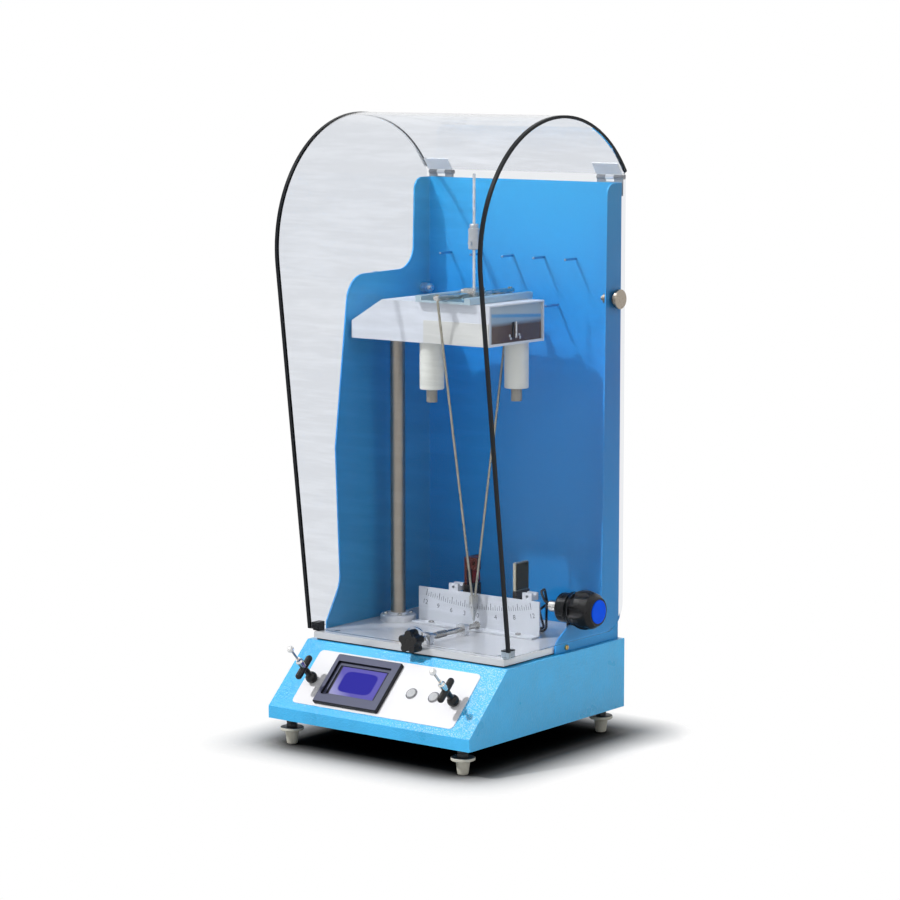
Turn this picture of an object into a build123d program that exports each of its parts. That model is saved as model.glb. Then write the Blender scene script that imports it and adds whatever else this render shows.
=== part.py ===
from build123d import *
import math
import os

# Pendulum hardness tester, millimetres.
# X runs to the right, Y to the back and Z up. The origin lies on the bench, below the middle of the base.

# Clearances
SEAT = 0.3
SLIP = 0.05
PLAY = 0.5

# Base housing
FOOT_H = 32.0
BASE_W = 307.0
BASE_D = 317.0
BASE_H = 86.0
LIP_H = 15.0
SLOPE_RUN = 74.5
SHEET = 2.0
PLATE = 2.0
CORE_X = 68.0
CORE_Y = 65.0
CORE_W = 56.0
CORE_D = 50.0
CORE_H = 44.0

# Deck on top of the base
DECK_W = 291.4
DECK_SETBACK = 77.2
DECK_T = 8.0
GASKET = 2.0
GASKET_INSET = 3.0
DECK_FIX_INSET = 20.7

# Rear shield, a bent sheet with two side wings
SHIELD_T = 2.0
SHIELD_H = 561.0
SHIELD_BEND = 3.0
SHIELD_SETBACK = 4.5
WING_STRIP = 30.0
SHOULDER_DROP = 114.0
SHOULDER_Y = -9.3
WAIST_Y = -36.3
WAIST_H = 233.0
TOE_Y = -55.3
TOE_H = 18.0
CRADLE_GAP = 1.5

# Clear side windows and hood
WINDOW_T = 3.0
WINDOW_GAP = 3.0
WINDOW_CORNER = 34.0
WINDOW_SCREW_Y = 41.6
STUD_Y = 138.0
STUD_Z = 539.0
HOOD_T = 3.0
HOOD_R = 161.5
HOOD_FRONT = -82.5
HOOD_Z0 = 131.0
HOOD_END = 33.5
TRIM_W = 4.2
TRIM_H = 3.6

# Hood hinges
HINGE_BACK = 1.36
HINGE_RISE = 6.48
HINGE_L = 38.0
HINGE_R = 2.8
HINGE_PIN_R = 1.25
LEAF_T = 1.2
HINGE_SWING = 1.3
MIDDLE_KNUCKLE = (-0.16, 0.16)
OUTER_KNUCKLES = ((-0.5, -0.16), (0.16, 0.5))

# Column and head
COLUMN_INSET = 28.0
COLUMN_R = 9.3
COLUMN_WALL = 2.0
FLANGE_R = 22.5
FLANGE_T = 8.0
HEAD_GAP = 6.0
HEAD_X1 = 71.0
HEAD_Y = 43.7
HEAD_W = 111.4
HEAD_Z0 = 486.5
HEAD_H = 50.0
HEAD_NOSE_H = 21.5
HEAD_NOSE_RUN = 48.0

# Pendulum
PEND_X = 7.0
FULCRUM_DROP = 400.0
BALL_R = 2.5
BALL_PITCH = 30.0
BEAM_L = 144.0
BEAM_W = 8.0
BEAM_H = 6.0
BEAM_RELIEF = 2.6
HUB_L = 22.0
HUB_H = 10.0
ROD_R = 1.6
POST_R = 1.8
POST_TOP = 150.0
WEIGHT_R = 7.0
WEIGHT_H = 31.0
WEIGHT_Z = 58.0
POINTER_H = 28.0

# Test panel and its table
PANEL_L = 90.0
PANEL_W = 62.0
PANEL_T = 5.0
PANEL_PROUD = 1.2
TABLE_T = 6.0

# Lifting stirrup and its guides
RAIL_X = 37.0
RAIL_W = 9.0
RAIL_H = 8.0
RAIL_L = 125.0
STIRRUP_BAR = 6.0
LIFT = 4.0
LIFT_REST = 1.65
GUIDE_DY = 36.0
GUIDE_R = 15.0
GUIDE_WALL = 2.5
GUIDE_H = 58.0
TIP_R = 6.7
TIP_H = 16.0
LIFT_ROD_R = 3.0

# Scale with its rack, and the star knob that shifts it
SCALE_Y = 52.0
SCALE_END_GAP = 18.5
SCALE_H = 44.0
SCALE_T = 2.0
SCALE_FOOT = 13.0
SCALE_LEFT = 3.6
FLANGE_CLEAR = 0.4
SCALE_RIGHT = 2.8
BLOCK_REACH = 38.0
BLOCK_INSET = 18.5
MODULE = 0.8
TEETH = 11
BACKLASH = 0.16
RACK_ADD = 0.4
RACK_BASE = 1.2
PINION_L = 4.0
STAR_R = 14.5
STAR_L = 16.0
STAR_LOBES = 5
STAR_GAP = 1.5
SHAFT_R = 3.4

# Light gate
GATE_X0 = -20.0
GATE_X1 = 54.0
GATE_Y = 60.0
GATE_D = 26.0
GATE_T = 4.0
GATE_H = 87.0
GATE_BASE_H = 52.0

# Side handle
HANDLE_Y = 50.0
HANDLE_Z = 171.0
GRIP_R = 23.8
GRIP_L = 35.0
GRIP_LOBES = 6
NECK_R = 18.0
FLUTE_R = 8.5
FLUTE_OUT = 4.6
CAP_R = 14.5
CAP_SEAT = 3.0
SPINDLE_R = 5.0
SPINDLE_END = 3.0
SPINDLE_STOP = 10.0
GLAND_INSET = 28.0
GLAND_R = 7.2
GLAND_NUT = 4.0
HOUSING_L = 11.2
BRACKET_T = 4.0
BRACKET_W = 24.0
GLAND_PITCH = 6.0
CABLE_R = 1.5

# Control panel on the slope
OVERLAY_W = 246.0
OVERLAY_V0 = 10.0
OVERLAY_H = 80.0
OVERLAY_T = 0.8
BEZEL_U = -40.5
BEZEL_W = 99.0
BEZEL_V = 49.5
BEZEL_H = 72.0
BEZEL_T = 5.0
WINDOW_W = 74.0
WINDOW_H = 42.0
BUTTON_U = (41.3, 74.7)
BUTTON_V = 48.5
BUTTON_R = 6.0
BUTTON_TRAVEL = 1.5
BOARD_W = 210.0
BOARD_H = 62.0
BOARD_N = -13.6
RELEASE_U = 108.5
RELEASE_V = 45.0
BOSS_R = 7.4
STEM_R = 3.0
GRIP_BAR_L = 35.0
GRIP_BAR_R = 4.2
GRIP_BAR_N = 27.0
BARREL_R = 4.0
BARREL_L = 15.0
PLUNGER_R = 1.4
PLUNGER_OUT = 24.0
PLUNGER_TRAVEL = 12.0

# Feet and storage pegs
FOOT_X = 131.0
FOOT_Y = 141.0
FOOT_FLANGE_R = 14.5
FOOT_CONE_R = 9.5
STUD_R = 4.0
PEG_PITCH = 48.0
PEG_COUNT = 5
PEG_X0 = -111.0
PEG_Z = 584.0
PEG_L = 24.0
PEG_R = 1.6
HOOK_X = 54.0
HOOK_Z = 526.0
HOOK_L = 27.0

# Places that follow from the sizes
BASE_Z0 = FOOT_H
BASE_Z1 = BASE_Z0 + BASE_H
FRONT = -BASE_D / 2
BACK = BASE_D / 2
DECK_Z0 = BASE_Z1 + GASKET
DECK_Z1 = DECK_Z0 + DECK_T
SHIELD_Y1 = BACK - SHIELD_SETBACK
SHIELD_Y0 = SHIELD_Y1 - SHIELD_T
DECK_Y0 = FRONT + DECK_SETBACK
DECK_Y1 = SHIELD_Y0 - SEAT
WING_X0 = DECK_W / 2 + SEAT
WING_X1 = WING_X0 + SHIELD_T
WINDOW_X0 = WING_X1 + WINDOW_GAP
WINDOW_X1 = WINDOW_X0 + WINDOW_T
SHIELD_Z0 = BASE_Z1 + SEAT
SHIELD_Z1 = BASE_Z1 + SHIELD_H
HEAD_X0 = HEAD_GAP - WING_X0
COLUMN_X = HEAD_X0 + COLUMN_INSET
HEAD_Y0 = HEAD_Y - HEAD_W / 2
HEAD_Y1 = HEAD_Y + HEAD_W / 2
HEAD_Z1 = HEAD_Z0 + HEAD_H
PANEL_Z1 = HEAD_Z1 + PANEL_PROUD
PANEL_Z0 = PANEL_Z1 - PANEL_T
FULCRUM_Z = PANEL_Z1 + SLIP + BALL_R
BEAM_Z0 = FULCRUM_Z + 0.5
BEAM_Z1 = BEAM_Z0 + BEAM_H
TIP_Z = PANEL_Z1 - FULCRUM_DROP
PITCH_R = MODULE * TEETH / 2
RACK_Z = DECK_Z1 + SEAT + SCALE_T + RACK_BASE
SHAFT_Z = RACK_Z + PITCH_R
STAR_X = 15.0
STAR_Y1 = DECK_Y0 - STAR_GAP
PINION_Y0 = SCALE_Y - SCALE_FOOT - 1.5
PINION_Y1 = PINION_Y0 + PINION_L
HANDLE_X0 = WINDOW_X1 + PLAY
HOUSING_X1 = WING_X0 - SLIP
HOUSING_X0 = HOUSING_X1 - HOUSING_L
GLAND_X = WING_X0 - GLAND_INSET
SCALE_X0 = COLUMN_X + FLANGE_R + SCALE_LEFT + FLANGE_CLEAR
SCALE_X1 = GLAND_X - SCALE_END_GAP
SCALE_L = SCALE_X1 - SCALE_X0
HINGE_RADIUS = HOOD_R - SEAT - HOOD_T - LEAF_T / 2
HINGE_X = WING_X1 - HINGE_L / 2
HINGE_Y = SHIELD_Y1 + HINGE_BACK
HINGE_Z = SHIELD_Z1 + HINGE_RISE
HOOD_CY = HINGE_Y - HINGE_RADIUS * math.cos(math.radians(HOOD_END - HINGE_SWING))
HOOD_CZ = HINGE_Z - HINGE_RADIUS * math.sin(math.radians(HOOD_END - HINGE_SWING))
SLOPE_ANGLE = math.atan2(BASE_H - LIP_H, SLOPE_RUN)


# Small helpers
def block(x0, x1, y0, y1, z0, z1):
    return Pos((x0 + x1) / 2, (y0 + y1) / 2, (z0 + z1) / 2) * Box(x1 - x0, y1 - y0, z1 - z0)


def rod_z(x, y, z0, z1, r):
    return Pos(x, y, (z0 + z1) / 2) * Cylinder(r, z1 - z0)


def rod_y(x, z, y0, y1, r):
    return Pos(x, (y0 + y1) / 2, z) * Rot(90, 0, 0) * Cylinder(r, y1 - y0)


def rod_x(y, z, x0, x1, r):
    return Pos((x0 + x1) / 2, y, z) * Rot(0, 90, 0) * Cylinder(r, x1 - x0)


def face_yz(points, radii=()):
    """A flat outline in the YZ plane, as (y, z) points, with corner radii by index."""
    face = make_face(Polyline(*[(y, z) for y, z in points], close=True))
    for index, radius in radii:
        corner = face.vertices().sort_by_distance(Vector(*points[index]))[0]
        face = fillet(corner, radius)
    return face


def prism_x(face, x0, x1):
    """Push an outline drawn as (y, z) along X from x0 to x1."""
    plane = Plane(origin=(x0, 0, 0), x_dir=(0, 1, 0), z_dir=(1, 0, 0))
    return extrude(plane * face, x1 - x0)


def prism_y(points, y0, y1, radii=()):
    """Push an outline given as (x, z) points along Y from y0 to y1."""
    face = face_yz(points, radii)
    plane = Plane(origin=(0, y1, 0), x_dir=(1, 0, 0), z_dir=(0, -1, 0))
    return extrude(plane * face, y1 - y0)


def turned(profile, axis_pose):
    """Turn an outline of (radius, height) points about its axis and place it."""
    face = make_face(Plane.XZ * Polyline(*profile, close=True))
    return axis_pose * revolve(face, Axis.Z)


def save(name, *solids):
    parts = []
    for solid in solids:
        parts += list(solid.solids())
    shape = parts[0] if len(parts) == 1 else Compound(children=parts)
    export_step(shape, f"parts/{name}.step")


def slope_pose(u=0.0, v=0.0, n=0.0):
    """A place on the sloping panel: u to the right, v up the slope, n out of it."""
    normal = (0, -math.sin(SLOPE_ANGLE), math.cos(SLOPE_ANGLE))
    plane = Plane(origin=(0, FRONT, BASE_Z0 + LIP_H), x_dir=(1, 0, 0), z_dir=normal)
    return plane.location * Pos(u, v, n)


def on_slope(u, v, n0, n1, r):
    return slope_pose(u, v, (n0 + n1) / 2) * Cylinder(r, n1 - n0)


# Base housing, deck and feet
def base_outline(inset=0.0, lower=0.0):
    run = inset * math.tan(SLOPE_ANGLE / 2)
    lift = inset * math.tan(math.pi / 4 - SLOPE_ANGLE / 2)
    return [
        (FRONT + inset, BASE_Z0 - lower),
        (FRONT + inset, BASE_Z0 + LIP_H - lift),
        (FRONT + SLOPE_RUN + run, BASE_Z1 - inset),
        (BACK - inset, BASE_Z1 - inset),
        (BACK - inset, BASE_Z0 - lower),
    ]


def base_housing():
    half = BASE_W / 2
    outer = prism_x(face_yz(base_outline()), -half, half)
    outer = fillet(outer.edges().filter_by(Axis.X).sort_by(Axis.Z)[2:], 1.2)
    inner = prism_x(face_yz(base_outline(SHEET, 1.0)), -half + SHEET, half - SHEET)
    shell = outer - inner
    shell -= slope_pose(BEZEL_U, BEZEL_V) * Box(BEZEL_W - 8, BEZEL_H - 8, 12)
    for u in BUTTON_U:
        shell -= on_slope(u, BUTTON_V, -5, 5, BUTTON_R + 1)
    for side in (-1, 1):
        shell -= on_slope(side * RELEASE_U, RELEASE_V, -5, 5, STEM_R + SEAT)
    shell -= block(*inlet_span(), BACK - SHEET - 1, BACK + 1, *inlet_height())
    for x, y in deck_fixings():
        shell -= rod_z(x, y, BASE_Z1 - SHEET - 1, BASE_Z1 + 1, 2.2)
    return shell


def inlet_span():
    return 70.0, 97.4


def inlet_height():
    return BASE_Z0 + 22.0, BASE_Z0 + 42.0


def power_inlet():
    x0, x1 = inlet_span()
    z0, z1 = inlet_height()
    x = (x0 + x1) / 2
    z = (z0 + z1) / 2
    flange = block(x - 24, x + 24, BACK + SLIP, BACK + 2, z0 - 2.5, z1 + 2.5)
    body = block(x0 + SEAT, x1 - SEAT, BACK - 22, BACK + 1, z0 + SEAT, z1 - SEAT)
    well = block(x0 + 2.2, x1 - 2.2, BACK - 17, BACK + 3, z0 + 2.2, z1 - 2.2)
    part = (flange + body) - well
    for dx, dz in ((-7, -2), (0, 2), (7, -2)):
        part += block(x + dx - 1, x + dx + 1, BACK - 18, BACK - 3, z + dz - 2, z + dz + 2)
    for side in (-1, 1):
        part -= rod_y(x + side * 19.5, z, BACK - 1, BACK + 3, 1.6)
    return part


def bottom_plate():
    edge = SHEET + SEAT
    plate = block(-BASE_W / 2 + edge, BASE_W / 2 - edge, FRONT + edge, BACK - edge, BASE_Z0, BASE_Z0 + PLATE)
    for x in (-FOOT_X, FOOT_X):
        for y in (-FOOT_Y, FOOT_Y):
            plate -= rod_z(x, y, BASE_Z0 - 1, BASE_Z0 + PLATE + 1, STUD_R + SLIP)
    for y in (-45, 45):
        for col in range(9):
            x = -48 + col * 12
            plate -= block(x - 2, x + 2, y - 14, y + 14, BASE_Z0 - 1, BASE_Z0 + PLATE + 1)
    return plate


def base_ribs():
    """Corner gussets inside the housing that carry the bottom plate and the feet."""
    ribs = []
    z0 = BASE_Z0 + PLATE + SLIP
    for x in (-1, 1):
        for y in (-1, 1):
            edge_x = BASE_W / 2 - SHEET - SLIP
            edge_y = BASE_D / 2 - SHEET - SLIP
            pad = block(edge_x - 34, edge_x, edge_y - 34, edge_y, z0, z0 + 6)
            pad -= rod_z(FOOT_X, FOOT_Y, z0 - 1, z0 + 7, STUD_R + SLIP)
            pad = mirror(pad, Plane.YZ) if x < 0 else pad
            pad = mirror(pad, Plane.XZ) if y < 0 else pad
            ribs.append(pad)
    return ribs


def deck_fixings():
    across = DECK_W / 2 - DECK_FIX_INSET
    return [(x, y) for x in (-across, across) for y in (DECK_Y0 + DECK_FIX_INSET, DECK_Y1 - DECK_FIX_INSET)]


def deck_gasket():
    half = DECK_W / 2 - GASKET_INSET
    z0, z1 = BASE_Z1 + SLIP, DECK_Z0 - SLIP
    outer = block(-half, half, DECK_Y0 + GASKET_INSET, DECK_Y1 - GASKET_INSET, z0, z1)
    inner = block(-half + 12, half - 12, DECK_Y0 + 15, DECK_Y1 - 15, z0 - 1, z1 + 1)
    return outer - inner


def deck_plate():
    half = DECK_W / 2
    plate = block(-half, half, DECK_Y0, DECK_Y1, DECK_Z0, DECK_Z1)
    plate = chamfer(plate.edges().group_by(Axis.Z)[-1], 0.6)
    for x, y in deck_fixings():
        plate -= rod_z(x, y, DECK_Z0 - 1, DECK_Z1 + 1, 2.2)
        plate -= rod_z(x, y, DECK_Z1 - 2.6, DECK_Z1 + 1, 4.2)
    for x, y in column_fixings():
        plate -= rod_z(x, y, DECK_Z1 - 5, DECK_Z1 + 1, 1.6)
    for side in (-1, 1):
        x = side * DECK_W / 2
        for y in wing_fixings(side):
            plate -= rod_x(y, DECK_Z0 + DECK_T / 2, x - 6, x + 6, 1.6)
    return plate


def screw(length, head_r, shank_r, head_h=2.2, slot=0.8):
    """A slotted pan-head screw, head up, seated at z = 0."""
    head = Pos(0, 0, head_h / 2) * Cylinder(head_r, head_h)
    head = fillet(head.edges().group_by(Axis.Z)[-1], head_h * 0.45)
    shank = Pos(0, 0, -length / 2) * Cylinder(shank_r, length)
    cut = Pos(0, 0, head_h) * Box(head_r * 3, slot, head_h)
    return (head + shank) - cut


def column_fixings():
    reach = FLANGE_R * 0.72
    return [(COLUMN_X + reach * math.cos(a), HEAD_Y + reach * math.sin(a))
            for a in [math.radians(45 + 90 * k) for k in range(4)]]


def wing_fixings(side):
    return (WINDOW_SCREW_Y,) if side > 0 else (-30.0, 40.0, 120.0)


def steel_screws():
    """Screws of the deck, the column foot and the column head."""
    group = []
    for x, y in deck_fixings():
        group.append(Pos(x, y, DECK_Z1 - 2.6 + SLIP) * screw(12, 3.8, 2.0, 2.2))
    for x, y in column_fixings():
        group.append(Pos(x, y, DECK_Z1 + FLANGE_T + SLIP) * screw(FLANGE_T + 4, 2.9, 1.5, 2.6))
    for x in (-1, 1):
        low = Pos(COLUMN_X + x * 14, HEAD_Y, HEAD_Z0 - SLIP) * Rot(180, 0, 0)
        group.append(low * screw(5, 2.9, 1.5, 2.2))
    return group


def foot(x, y):
    """A levelling foot: a threaded stud with its lock nuts, and a turned cone under a flange."""
    neck = BASE_Z0 - 11.0
    pad = turned([(0, 0), (5.5, 0), (6.5, 1.0), (FOOT_CONE_R - 1, neck - 5), (FOOT_CONE_R, neck - 4),
                  (FOOT_FLANGE_R - 0.8, neck - 4), (FOOT_FLANGE_R, neck - 3.2), (FOOT_FLANGE_R, neck - 0.8),
                  (FOOT_FLANGE_R - 0.8, neck), (0, neck)], Pos(x, y, 0))
    stud = rod_z(x, y, neck - 6, BASE_Z0 + PLATE + 14, STUD_R - SLIP)
    pad -= rod_z(x, y, neck - 6, neck + 1, STUD_R - SLIP)
    low = Pos(x, y, neck + 0.1) * extrude(RegularPolygon(7.0, 6), 4.2)
    washer = Pos(x, y, BASE_Z0 - SEAT - 0.8) * Cylinder(8.5, 1.6)
    high = Pos(x, y, BASE_Z0 - 5.8) * extrude(RegularPolygon(7.0, 6), 4.0)
    stud += low + washer + high
    return pad, stud


# Control panel
def rounded_plate(w, h, t, r):
    return extrude(RectangleRounded(w, h, r), t)


def control_overlay():
    v = OVERLAY_V0 + OVERLAY_H / 2
    plate = slope_pose(0, v, SLIP) * rounded_plate(OVERLAY_W, OVERLAY_H, OVERLAY_T, 6)
    plate -= slope_pose(BEZEL_U, BEZEL_V) * Box(BEZEL_W - 7, BEZEL_H - 7, 12)
    for u in BUTTON_U:
        plate -= on_slope(u, BUTTON_V, -3, 3, BUTTON_R + 0.4)
    for side in (-1, 1):
        plate -= on_slope(side * RELEASE_U, RELEASE_V, -3, 3, STEM_R + SEAT)
    return plate


def display_bezel():
    base = OVERLAY_T + 2 * SLIP
    rim = rounded_plate(BEZEL_W, BEZEL_H, BEZEL_T, 2)
    rim = chamfer(rim.edges().group_by(Axis.Z)[-1], 1.2)
    well = Pos(-2.0, 1.0, 1.2) * rounded_plate(WINDOW_W + 8, WINDOW_H + 8, BEZEL_T, 1.5)
    opening = Pos(-2.0, 1.0, -1) * rounded_plate(WINDOW_W, WINDOW_H, BEZEL_T, 1)
    skirt = Pos(0, 0, -6) * rounded_plate(BEZEL_W - 9, BEZEL_H - 9, 6 + SLIP, 2)
    skirt -= Pos(0, 0, -7) * rounded_plate(BEZEL_W - 13, BEZEL_H - 13, 9, 2)
    return slope_pose(BEZEL_U, BEZEL_V, base) * ((rim - well - opening) + skirt)


def display_screen():
    base = OVERLAY_T + 2 * SLIP
    glass = Pos(-2.0, 1.0, -4.5) * rounded_plate(WINDOW_W + 6, WINDOW_H + 6, 4.5 - SLIP, 1)
    return slope_pose(BEZEL_U, BEZEL_V, base) * glass


def control_board():
    """The circuit board behind the slope, with its stand-offs, processor and switches."""
    board = Pos(0, 0, BOARD_N) * Box(BOARD_W, BOARD_H, 1.6)
    top = BOARD_N + 0.8
    for u in (-BOARD_W / 2 + 7, BOARD_W / 2 - 7):
        for v in (-BOARD_H / 2 + 5, BOARD_H / 2 - 5):
            board += Pos(u, v, (top - SHEET - SLIP) / 2) * Cylinder(2.6, -top - SHEET - SLIP)
    for u in BUTTON_U:
        board += Pos(u, BUTTON_V - OVERLAY_V0 - OVERLAY_H / 2, top + 2.5) * Box(7, 7, 5)
    board += Pos(10, 10, BOARD_N - 2.8) * Box(14, 14, 4)
    board += Pos(-60, -8, BOARD_N - 3.8) * Box(38, 10, 6)
    return slope_pose(0, OVERLAY_V0 + OVERLAY_H / 2, 0) * board


def power_supply():
    """The mains transformer on the bottom plate: laminated core and winding."""
    z0 = BASE_Z0 + PLATE + SLIP
    x0, x1 = CORE_X - CORE_W / 2, CORE_X + CORE_W / 2
    y0, y1 = CORE_Y - CORE_D / 2, CORE_Y + CORE_D / 2
    low, high = z0 + 3 + CORE_H / 4, z0 + 3 + CORE_H * 3 / 4
    core = block(x0, x1, y0, y1, z0 + 3, z0 + 3 + CORE_H)
    for x in (CORE_X - CORE_W / 4, CORE_X + CORE_W / 4):
        core -= block(x - 3, x + 3, y0 - 1, y1 + 1, low, high)
    winding = block(CORE_X - CORE_W / 4 + 3, CORE_X + CORE_W / 4 - 3, y0 - 10, y1 + 10, low, high)
    winding = fillet(winding.edges().filter_by(Axis.Z), 5)
    strap = block(x0 - 12, x1 + 12, CORE_Y - CORE_D / 4, CORE_Y + CORE_D / 4, z0, z0 + 3)
    return core + winding + strap


def button(u):
    """A round push button with a dished top and a stem that reaches its switch."""
    low = -7.6 + BUTTON_TRAVEL
    cap = Pos(0, 0, (OVERLAY_T + 2.2 - SHEET) / 2) * Cylinder(BUTTON_R, OVERLAY_T + 2.2 + SHEET)
    cap = fillet(cap.edges().group_by(Axis.Z)[-1], 0.8)
    stem = Pos(0, 0, (low - SHEET) / 2) * Cylinder(2.0, -SHEET - low + 0.2)
    collar = Pos(0, 0, -SHEET - 1.4) * Cylinder(BUTTON_R + 2.0, 1.6)
    return slope_pose(u, BUTTON_V, 0) * (cap + stem + collar)


def release_grip(side):
    """A ball boss on the panel with the finger bar of a cable release above it."""
    top = OVERLAY_T + 2 * SLIP
    ball = Pos(0, 0, top + BOSS_R * 0.8) * Sphere(BOSS_R)
    ball &= Pos(0, 0, top + BOSS_R) * Box(3 * BOSS_R, 3 * BOSS_R, 2 * BOSS_R)
    neck = Pos(0, 0, (top + GRIP_BAR_N) / 2) * Cylinder(STEM_R + 0.8, GRIP_BAR_N - top)
    stem = Pos(0, 0, (top - 14) / 2 + 0.5) * Cylinder(STEM_R, top + 15)
    nut = Pos(0, 0, -SHEET - SLIP - 4.2) * extrude(RegularPolygon(7, 6), 4.2)
    bar = Pos(0, 0, GRIP_BAR_N) * Rot(90, 0, 0) * Cylinder(GRIP_BAR_R, GRIP_BAR_L - 2 * GRIP_BAR_R)
    for end in (-1, 1):
        bar += Pos(0, end * (GRIP_BAR_L / 2 - GRIP_BAR_R), GRIP_BAR_N) * Sphere(GRIP_BAR_R)
    body = ball + neck + stem + nut + bar
    body -= Pos(0, 0, GRIP_BAR_N / 2) * Cylinder(PLUNGER_R + SLIP + 0.2, 3 * GRIP_BAR_N)
    body -= Pos(0, 0, barrel_n0() + 5) * Cylinder(BARREL_R, 10)
    return slope_pose(side * RELEASE_U, RELEASE_V) * body


def barrel_n0():
    """How far out of the panel the silver barrel starts, inside the finger bar."""
    return GRIP_BAR_N + GRIP_BAR_R - 2.0


def release_barrel(side):
    z0 = barrel_n0() + SLIP
    z1 = z0 + BARREL_L
    bore = PLUNGER_R + SLIP
    outline = [(bore, z0), (BARREL_R - SLIP, z0), (BARREL_R - SLIP, z0 + 3), (BARREL_R + 0.6, z0 + 4),
               (BARREL_R + 0.6, z1 - 5), (BARREL_R - 1.0, z1 - 3), (BARREL_R - 1.0, z1), (bore, z1)]
    return slope_pose(side * RELEASE_U, RELEASE_V) * turned(outline, Pos(0, 0, 0))


def plunger(side):
    """The thin push rod of a cable release, with the small button at its end."""
    low = PLUNGER_TRAVEL - 8.0
    top = barrel_n0() + BARREL_L + PLUNGER_OUT - 8.0
    outline = [(0, low), (PLUNGER_R, low), (PLUNGER_R, top), (3.2, top), (4.2, top + 1.6), (4.2, top + 4.4),
               (2.8, top + 6.4), (0, top + 7.0)]
    return slope_pose(side * RELEASE_U, RELEASE_V) * turned(outline, Pos(0, 0, 0))


# Rear shield and clear windows
def left_wing_outline():
    y = SHIELD_Y0
    z0, z1 = SHIELD_Z0, SHIELD_Z1
    shoulder = z1 - SHOULDER_DROP
    strip = y - WING_STRIP
    points = [(y, z0), (y, z1), (strip, z1), (strip - 3, shoulder), (SHOULDER_Y, shoulder - 2),
              (WAIST_Y, z0 + WAIST_H), (WAIST_Y + 8, z0 + 63), (TOE_Y, z0 + TOE_H), (TOE_Y, z0)]
    return points, ((2, 16.0), (3, 30.0), (4, 34.0), (6, 40.0), (7, 10.0))


def right_wing_outline():
    y = SHIELD_Y0
    z0, z1 = SHIELD_Z0, SHIELD_Z1
    cradle = HANDLE_Z - NECK_R - CRADLE_GAP
    points = [(y, z0), (y, z1), (y - WING_STRIP, z1), (y - WING_STRIP - 7, cradle), (HANDLE_Y, cradle),
              (HANDLE_Y - 30, z0 + 15), (HANDLE_Y - 31, z0)]
    return points, ((2, 14.0), (3, 24.0), (4, 4.0), (5, 12.0))


def back_shield():
    """One bent sheet: the back wall with a deep left wing and a narrow right wing."""
    deep = HEAD_Y - 110
    z0, z1 = SHIELD_Z0, SHIELD_Z1
    outer = block(-WING_X1, WING_X1, deep, SHIELD_Y1, z0, z1)
    outer = fillet(outer.edges().filter_by(Axis.Z).sort_by(Axis.Y)[-2:], SHIELD_BEND)
    inner = block(-WING_X0, WING_X0, deep - 1, SHIELD_Y0, z0 - 1, z1 + 1)
    inner = fillet(inner.edges().filter_by(Axis.Z).sort_by(Axis.Y)[-2:], SHIELD_BEND - SHIELD_T)
    sheet = outer - inner
    wall = block(-WING_X1, WING_X1, SHIELD_Y0 - SHIELD_BEND, SHIELD_Y1, z0, z1)
    left = prism_x(face_yz(*left_wing_outline()), -WING_X1 - 1, 0)
    right = prism_x(face_yz(*right_wing_outline()), 0, WING_X1 + 1)
    sheet = sheet & (wall + left + right)
    for side in (-1, 1):
        x = side * WING_X1
        for y in wing_fixings(side):
            sheet -= rod_x(y, DECK_Z0 + DECK_T / 2, x - 5, x + 5, 1.8)
        sheet -= rod_x(STUD_Y, STUD_Z, x - 5, x + 5, 3.2)
    for k in range(PEG_COUNT):
        sheet -= rod_y(PEG_X0 + k * PEG_PITCH, PEG_Z, SHIELD_Y0 - 1, SHIELD_Y1 + 1, 1.7)
    sheet -= rod_y(HOOK_X, HOOK_Z, SHIELD_Y0 - 1, SHIELD_Y1 + 1, 1.7)
    return sheet


def side_window(side):
    """A clear side window that follows the inside of the closed hood."""
    inset = TRIM_H + SEAT
    z_low = HOOD_Z0
    rear = SHIELD_Y1 - 1.0
    start = hood_start(inset)
    touch = hood_touch(inset)
    top = hood_arc_point(inset, 90)
    end = hood_arc_point(inset, HOOD_END + 3.0)
    outline = [
        Line(start, touch),
        ThreePointArc(touch, top, end),
        Line(end, (rear, end[1] - 8)),
        Line((rear, end[1] - 8), (rear, z_low)),
        Line((rear, z_low), start),
    ]
    face = make_face(Wire(outline))
    corner = face.vertices().sort_by_distance(Vector(rear, z_low))[0]
    face = fillet(corner, WINDOW_CORNER)
    pane = prism_x(face, WINDOW_X0, WINDOW_X1)
    pane -= rod_x(STUD_Y, STUD_Z, WINDOW_X0 - 1, WINDOW_X1 + 1, 3.2)
    pane -= rod_x(WINDOW_SCREW_Y, DECK_Z0 + DECK_T / 2, WINDOW_X0 - 1, WINDOW_X1 + 1, 3.6)
    if side > 0:
        pane -= rod_x(HANDLE_Y, HANDLE_Z, WINDOW_X0 - 1, WINDOW_X1 + 1, NECK_R + CRADLE_GAP)
        return pane
    return mirror(pane, Plane.YZ)


def shield_screws():
    """Plated screws that hold the wings to the edges of the deck plate."""
    group = []
    for side in (-1, 1):
        for y in wing_fixings(side):
            place = Pos(side * (WING_X1 + SLIP), y, DECK_Z0 + DECK_T / 2) * Rot(0, side * 90, 0)
            group.append(place * screw(6.5, 3.2, 1.5, 2.4))
    return group


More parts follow.
